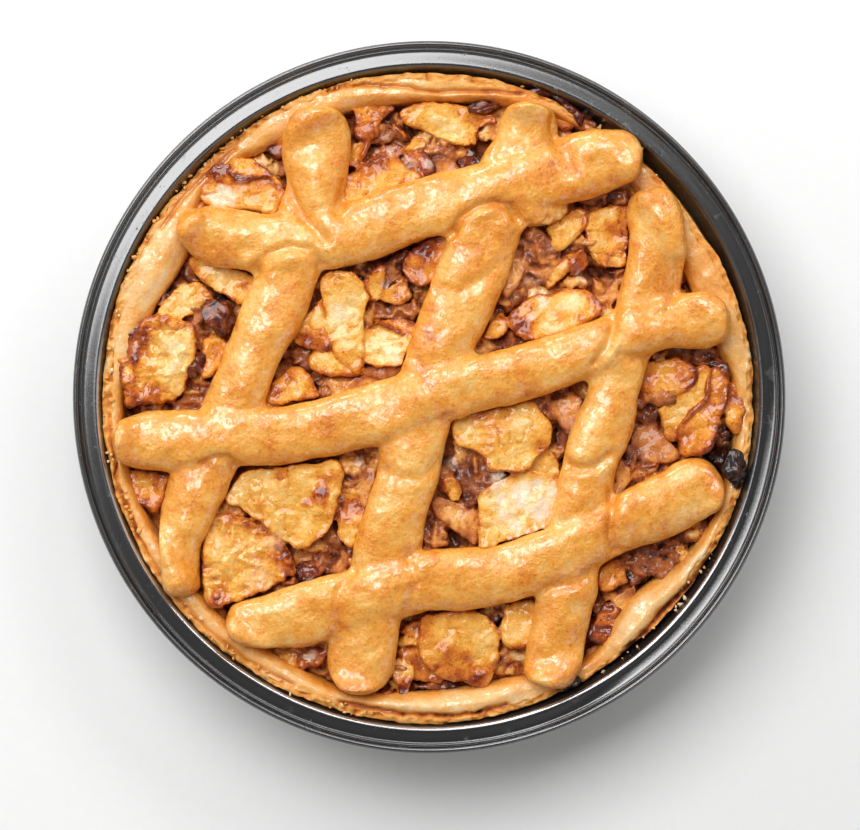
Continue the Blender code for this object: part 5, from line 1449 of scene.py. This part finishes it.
# Creases and swellings of the lattice: (height, width, change of bake, line). The darker bake along
# the creases is painted shade; that of the toasted places is the dough's own colour.
LATTICE_STROKES = [
    # where the top of the west rope lies over the north rope
    (-2.2, 1.8, 0.10, [(-49.5, 74.5), (-46, 66.5), (-42.5, 61), (-38, 56.5), (-35, 52.5)]),
    (-1.5, 2.0, 0.08, [(-28, 72), (-28.6, 66.5), (-31, 62)]),
    (-1.9, 2.0, 0.05, [(-58.5, 42.5), (-54, 47.7), (-47, 50.3), (-40, 49.2), (-36, 43.5)]),
    (1.3, 4.0, 0.0, [(-53, 42), (-47, 44.5), (-41.5, 43)]),
    (1.3, 5.0, 0.0, [(-38, 76), (-37.5, 68), (-36, 63)]),
    (1.0, 4.0, 0.0, [(-80, 58.5), (-70, 57), (-60, 54)]),
    (-0.9, 3.5, -0.05, [(-60, 50), (-52, 54), (-44, 55)]),
    # where the centre rope crosses the others
    (-0.9, 2.2, 0.20, [(5.5, -6), (1.5, 1), (-4, 12)]),
    (-1.3, 2.0, 0.08, [(64, 14), (70, 12.5), (78, 12.5), (88, 13.5), (98, 16)]),
    (-2.3, 1.7, 0.10, [(59, 31.5), (61.5, 27), (61.3, 22), (59.5, 16.5), (55.5, 11)]),
    (1.2, 4.5, 0.0, [(68, 32), (68, 24), (76, 19)]),
    (-0.7, 4.0, -0.12, [(58, 8), (64, 7)]),
    (-1.3, 2.2, 0.06, [(-15, -25), (-10, -27.5), (-2, -27), (2, -24)]),
    (-1.0, 2.5, 0.04, [(2, 37), (10, 35), (19, 40), (24.5, 45.5)]),
    (-1.1, 1.6, 0.10, [(80, 29), (83.5, 37), (83.5, 45)]),
    (-1.8, 1.6, 0.10, [(-76, -22.5), (-72, -20.5), (-67.5, -20.8), (-64.5, -24)]),
    # where the middle rope comes out below the north rope
    (-2.6, 1.6, 0.10, [(8, 55), (11, 60), (16, 63.8), (22, 65), (27, 63.5), (30.5, 59)]),
    (1.2, 4.0, 0.0, [(13, 56), (20, 59.5), (25, 57)]),
    # between the top of the middle rope and the end of the north rope
    (-1.7, 2.8, 0.10, [(42.5, 92), (43.5, 86), (46, 81), (47.5, 76.5)]),
    (1.4, 5.0, 0.0, [(52, 82), (60, 85)]),
    (0.9, 3.0, 0.12, [(50, 76), (54, 74.5)]),
    # where the south rope crosses the others
    (-2.1, 1.8, 0.08, [(44, -21.5), (50, -24), (56, -23.5), (61, -19.5)]),
    (-1.0, 4.0, -0.06, [(48, -28), (55, -29)]),
    (-2.2, 1.7, 0.08, [(61.5, -33), (61, -40), (61, -46), (63, -52)]),
    (1.0, 3.5, 0.0, [(66, -33), (66, -41)]),
    (-1.1, 1.8, 0.06, [(-7, -53), (-4.5, -62), (-8, -73)]),
    (-1.1, 1.8, 0.06, [(-26, -58), (-31, -66), (-30, -77)]),
    (-1.1, 1.8, 0.06, [(40, -64), (48, -63), (57, -58)]),
    # toasted places, mostly at tips
    (0, 6.0, 0.18, [(20, 58), (14, 44)]), (0, 1.5, 0.4, [(-0.5, 22), (0.5, 20.5)]),
    (0, 2.0, 0.3, [(45, 69), (52, 69.5), (62, 74)]), (0, 4.5, 0.26, [(-36, -9), (-31, -8)]),
    (0, 3.5, 0.3, [(92, -17), (95.5, -24), (95, -31)]), (0, 3.0, 0.25, [(33, -88), (31, -95)]),
    (0, 4.0, 0.2, [(-31, -92), (-26, -98), (-16, -98)]), (0, 4.0, 0.16, [(-80, 52), (-70, 47)]),
    (0, 5.0, 0.12, [(-43, 92), (-35, 90)]), (0, 4.0, 0.14, [(76, 45), (78, 36)]),
]


def smooth_path(points, step):
    """Rows of (x, y, width) at even steps along the smooth line through the points."""
    rows = np.array(points, float)
    rows = np.vstack([2 * rows[0] - rows[1], rows, 2 * rows[-1] - rows[-2]])
    fine = []
    for before, start, end, after in zip(rows, rows[1:], rows[2:], rows[3:]):
        pieces = max(2, round(np.linalg.norm(end - start) / step))
        fine += [spline(before, start, end, after, piece / pieces) for piece in range(pieces)]
    return np.array([*fine, rows[-2]])


def bed_height(x, y):
    """The top of what a rope lies on: the filling, and the case's rim near the edge."""
    turned = np.arctan2(y, x)
    rim_start = around(RIM_INNER, turned)
    share = soft_step(np.hypot(x, y), rim_start + BED_SLOPE[0], rim_start + BED_SLOPE[1])
    rim = around(RIM_CREST, turned) - BED_UNDER_CREST
    middle = filling_height(x, y) + BED_OVER_FILLING
    return middle + (rim - middle) * share


paths = {name: smooth_path(points, ROPE_STEP) for name, points in ROPES.items()}
section = np.linspace(0, math.tau, ROPE_SIDES, endpoint=False)
aside_share, up_share = (
    np.sign(wave) * abs(wave) ** SECTION_FULLNESS for wave in (np.cos(section), np.sin(section))
)
ropes = []
for name, path in paths.items():
    heading = np.gradient(path[:, :2], axis=0)
    heading /= np.hypot(heading[:, 0], heading[:, 1])[:, None]
    aside = np.column_stack([heading[:, 1], -heading[:, 0]])
    gone = walked_along(path[:, :2])
    half = path[:, 2] / 2
    from_tip = np.minimum(gone, gone[-1] - gone) / half
    swell = np.maximum(0.03, 1 - np.maximum(0, 1 - from_tip) ** TIP_FULLNESS) ** (1 / TIP_FULLNESS)
    width = half * swell
    others = np.vstack([
        line for other, line in paths.items() if (other in OVER) != (name in OVER)
    ])
    across_line = path[:, None, :2] + (
        aside[:, None] * width[:, None, None] * aside_share[None, :, None]
    )
    points = across_line.reshape(-1, 2)
    nearest = np.array([np.hypot(*(others[:, :2] - point).T).min() for point in points])
    crossing = CROSSING_RISE * np.exp(-(nearest / CROSSING_REACH) ** 2)
    crossing *= 1 if name in OVER else -1
    half_height = np.minimum(ROPE_HALF_HEIGHT, width)[:, None]
    # A thin tip lies as low as the rest of the rope.
    upright = (half_height * up_share[None] + half_height - ROPE_HALF_HEIGHT).reshape(-1)
    height = bed_height(points[:, 0], points[:, 1]) + ROPE_RISE + crossing + upright
    ropes.append((np.column_stack([points, height]), tube_faces(len(path), ROPE_SIDES)))
lattice = new_piece("dough_lattice", *as_one(ropes))
outward(lattice)
fuse(lattice, LATTICE_VOXEL)
soft = lattice.modifiers.new("soft", "SMOOTH")
soft.factor = 0.5
soft.iterations = LATTICE_SMOOTHING
bpy.ops.object.modifier_apply(modifier="soft")
lattice_places = points_of(lattice)
facing = points_of(lattice, normals=True)
lift, crease_shade_and_bake = strokes_at(lattice_places, LATTICE_STROKES)
swelling = (
    0.9 * lumps(lattice_places, 13, 51) + 0.46 * lumps(lattice_places, 5.5, 52)
    + 0.17 * lumps(lattice_places, 2.6, 53)
)
torn = np.exp(-(to_line(lattice_places, TORN_EDGE) / 3) ** 2)
swelling += torn * (1.0 * lumps(lattice_places, 1.9, 56) + 0.5 * lumps(lattice_places, 1.0, 57))
top_share = soft_step(facing[:, 2], 0.1, 0.7)
move_points(lattice, lattice_places + facing * (swelling + lift * top_share)[:, None])
side = 1 - soft_step(facing[:, 2], 0.15, 0.75)
# Faces that look down and faces turned away from the key lamp are painted darker: painted shade.
lower = soft_step(-facing[:, 2], -0.3, 0.5)
shaded_side = soft_step(facing[:, 0] * 0.6 - facing[:, 1] * 0.8, 0.2, 0.9)
# The bake stored here is painted darker on those faces and along the creases, which is painted shade.
store(
    lattice,
    bake=0.50 + 0.12 * lumps(lattice_places, 15, 54) + 0.10 * lumps(lattice_places, 6, 55)
    + crease_shade_and_bake * top_share - 0.05 * side + 0.12 * shaded_side + 0.15 * lower - 0.25 * torn,
    side=side,
)
bpy.ops.object.shade_smooth()

YOLK = (1.0, 0.90, 0.53, 1)  # the egg wash tints the dough under it
egg_wash = Finish("egg_washed_dough", IOR=1.55, Coat_IOR=1.85, Coat_Roughness=0.14)
patches = egg_wash.noise(8, 3, 0.6)
mottling = egg_wash.noise(2.6, 5, 0.7)
flecks = egg_wash.noise(0.8, 3, 0.65)
freckles = egg_wash.between(egg_wash.noise(3.1, 4, 0.6), 0.645, 0.76)
specks = egg_wash.between(egg_wash.noise(1.0, 2, 0.5), 0.58, 0.68)
gloss = egg_wash.between(egg_wash.noise(6, 4, 0.65), 0.34, 0.60)
wrinkles = egg_wash.noise(3.0, 2, 0.5, kind="RIDGED_MULTIFRACTAL", twist=0.7)
leather = egg_wash.noise(1.7, 2, 0.5)
glints = egg_wash.between(egg_wash.noise(1.7, 3, 0.62), 0.47, 0.53)
# The stored bake holds painted shade as well as the dough's browning.
baked = (
    egg_wash.stored("bake") + (patches - 0.5) * 1.0 + (mottling - 0.5) * 0.9
    + (flecks - 0.5) * 0.5 + freckles * 0.32 + specks * 0.2
)
golden = egg_wash.ramp(baked * 0.5, dimmed(DOUGH_SHADES, DOUGH_LIGHT))
egg_wash.look(
    Base_Color=egg_wash.mix(1, golden, YOLK, "MULTIPLY"),
    Roughness=(0.36 - gloss * 0.12 + (flecks - 0.5) * 0.12 + egg_wash.stored("side") * 0.1).held(),
    Coat_Weight=(gloss * (0.12 + glints * 0.88)).held(),
)
egg_wash.bump((patches, 0.7), (wrinkles, 0.08), (leather, 0.3), (mottling, 0.34), (flecks, 0.16))
finished(lattice, egg_wash, "dough", "lattice")


# ------------------------------------------------------------------ the raisins
# Raisins from the filling that lie free on top, wrinkled and glossy with syrup. The first three
# are swollen, and the two at the rim are burnt nearly black.

# (x, y, length, width, height, turn in degrees, lowest point)
RAISINS = [
    (-71, 27, 13, 10, 7, -50, 33.2),
    (-80, 11, 9, 6, 5, 80, 34.5),
    (18, 98.2, 11, 5, 5, 12, 32.5),
    (103.2, -24, 13, 8, 7, -82, 34.0),
    (47, -96.6, 9, 4.5, 5, 24, 34.5),
]
SWOLLEN = 3  # the first so many, and the rest are burnt
FOLD_SIZES = [0.34, 0.24, 0.24, 0.24, 0.24]  # as shares of their lengths and widths


def raisin_skin(name, shades):
    """The finish of a raisin, from its darkest to its lightest colour."""
    skin = Finish(name, IOR=1.3, Coat_Weight=0.8, Coat_IOR=1.5, Coat_Roughness=0.1)
    skin_patches = skin.noise(2.2, 4, 0.65)
    skin_folds = skin.noise(1.6, 2, 0.5)
    skin.look(
        Base_Color=skin.ramp(skin_patches, [
            (place, linear(*shade)) for place, shade in zip((0.30, 0.5, 0.62, 0.75), shades)
        ]),
        Roughness=(0.32 + (skin_patches - 0.5) * 0.4).held(),
    )
    skin.bump((skin_folds, 0.5), (skin_patches, 0.4))
    return skin


swollen = raisin_skin("swollen_raisin_skin",
                      [(52, 20, 12), (100, 44, 24), (148, 76, 42), (196, 122, 78)])
burnt = raisin_skin("burnt_raisin_skin", [(12, 7, 6), (32, 17, 13), (70, 38, 26), (120, 70, 46)])
for number, (x, y, length, width, height, turned, low) in enumerate(RAISINS, 1):
    # A ball one millimetre across is wrinkled, and then takes the raisin's sizes.
    bpy.ops.object.select_all(action="DESELECT")
    bpy.ops.mesh.primitive_ico_sphere_add(subdivisions=6, radius=0.0005)
    raisin = bpy.context.object
    raisin.name = f"free_raisin_{number}"
    ball = points_of(raisin)
    fold = abs(lumps(ball + number * 5, FOLD_SIZES[number - 1], 61)) ** 0.7
    dent = lumps(ball + number * 3, 0.3, 62)
    ball = ball * (1.06 - 0.32 * fold + 0.16 * dent)[:, None]
    ball = ball * (length, width, height)
    angle = math.radians(turned)
    shape = np.column_stack([
        ball[:, 0] * math.cos(angle) - ball[:, 1] * math.sin(angle),
        ball[:, 0] * math.sin(angle) + ball[:, 1] * math.cos(angle), ball[:, 2],
    ])
    move_points(raisin, shape + (x, y, low + height / 2))
    bpy.ops.object.shade_smooth()
    finished(raisin, swollen if number <= SWOLLEN else burnt, "raisin", f"raisin_{number}")


# ------------------------------------------------------------------ the table, light and camera
# A pale table, a large soft lamp high at the back left with a low one under it for the glints,
# weaker ones from the back right and the front right, a pale room, and a camera straight above.

bpy.ops.object.select_all(action="DESELECT")
bpy.ops.mesh.primitive_plane_add(size=6, location=(0, 0, 0))
table = bpy.context.object
table.name = "table"
paper = Finish("pale_paper", Roughness=0.9, IOR=1.3)
paper_grain = paper.noise(4, 3, 0.5)
paper.look(Base_Color=paper.ramp(paper_grain, [(0, (0.84,) * 3), (1, (0.87,) * 3)]))
table.data.materials.append(paper.material)


def soft_lamp(name, azimuth, zenith, distance, size, power):
    """A soft box that faces the pie: where it stands in degrees and metres, its size, its watts."""
    data = bpy.data.lights.new(name, "AREA")
    data.shape = "RECTANGLE"
    data.size, data.size_y = size
    data.energy = power
    lamp = bpy.data.objects.new(name, data)
    bpy.context.scene.collection.objects.link(lamp)
    azimuth, zenith = math.radians(azimuth), math.radians(zenith)
    lamp.location = (
        distance * math.sin(zenith) * math.cos(azimuth),
        distance * math.sin(zenith) * math.sin(azimuth),
        distance * math.cos(zenith),
    )
    lamp.rotation_euler = (0, zenith, azimuth)
    lamp.visible_camera = False


soft_lamp("key_lamp", 122, 30, 1.4, (0.9, 1.1), 17.5)
soft_lamp("fill_lamp", 60, 50, 1.6, (0.35, 0.9), 5)
soft_lamp("low_lamp", 122, 73, 1.4, (0.25, 1.2), 6)
soft_lamp("front_lamp", -42, 52, 1.7, (0.9, 1.1), 2)
# The room is light low down, where its walls are white, and dark overhead: its brightness at the
# first height of a direction and at the second, where 0 is level and 1 is straight up.
SKY_HEIGHTS = (0.35, 0.95)
SKY_BRIGHTNESS = (0.55, 0.06)
world = bpy.data.worlds.new("studio")
world.use_nodes = True
sky = world.node_tree
direction = sky.nodes.new("ShaderNodeTexCoord")
height_in_sky = sky.nodes.new("ShaderNodeSeparateXYZ")
brightness = sky.nodes.new("ShaderNodeMapRange")
sky.links.new(direction.outputs["Generated"], height_in_sky.inputs[0])
sky.links.new(height_in_sky.outputs[2], brightness.inputs[0])
for socket, value in enumerate((*SKY_HEIGHTS, *SKY_BRIGHTNESS), 1):
    brightness.inputs[socket].default_value = value
sky.links.new(brightness.outputs[0], sky.nodes["Background"].inputs[1])
sky.nodes["Background"].inputs[0].default_value = (1.0, 0.99, 0.975, 1)
bpy.context.scene.world = world
bpy.context.scene.view_settings.view_transform = "Standard"

CAMERA_PLACE = (0.0003, -0.006, 1.040)
FRAME_WIDTH = 0.2895  # what the camera takes in across at one metre
SENSOR_WIDTH = 36
camera_data = bpy.data.cameras.new("camera")
camera_data.sensor_width = SENSOR_WIDTH
camera_data.lens = SENSOR_WIDTH / FRAME_WIDTH
camera = bpy.data.objects.new("camera", camera_data)
camera.location = CAMERA_PLACE
bpy.context.scene.collection.objects.link(camera)
bpy.context.scene.camera = camera
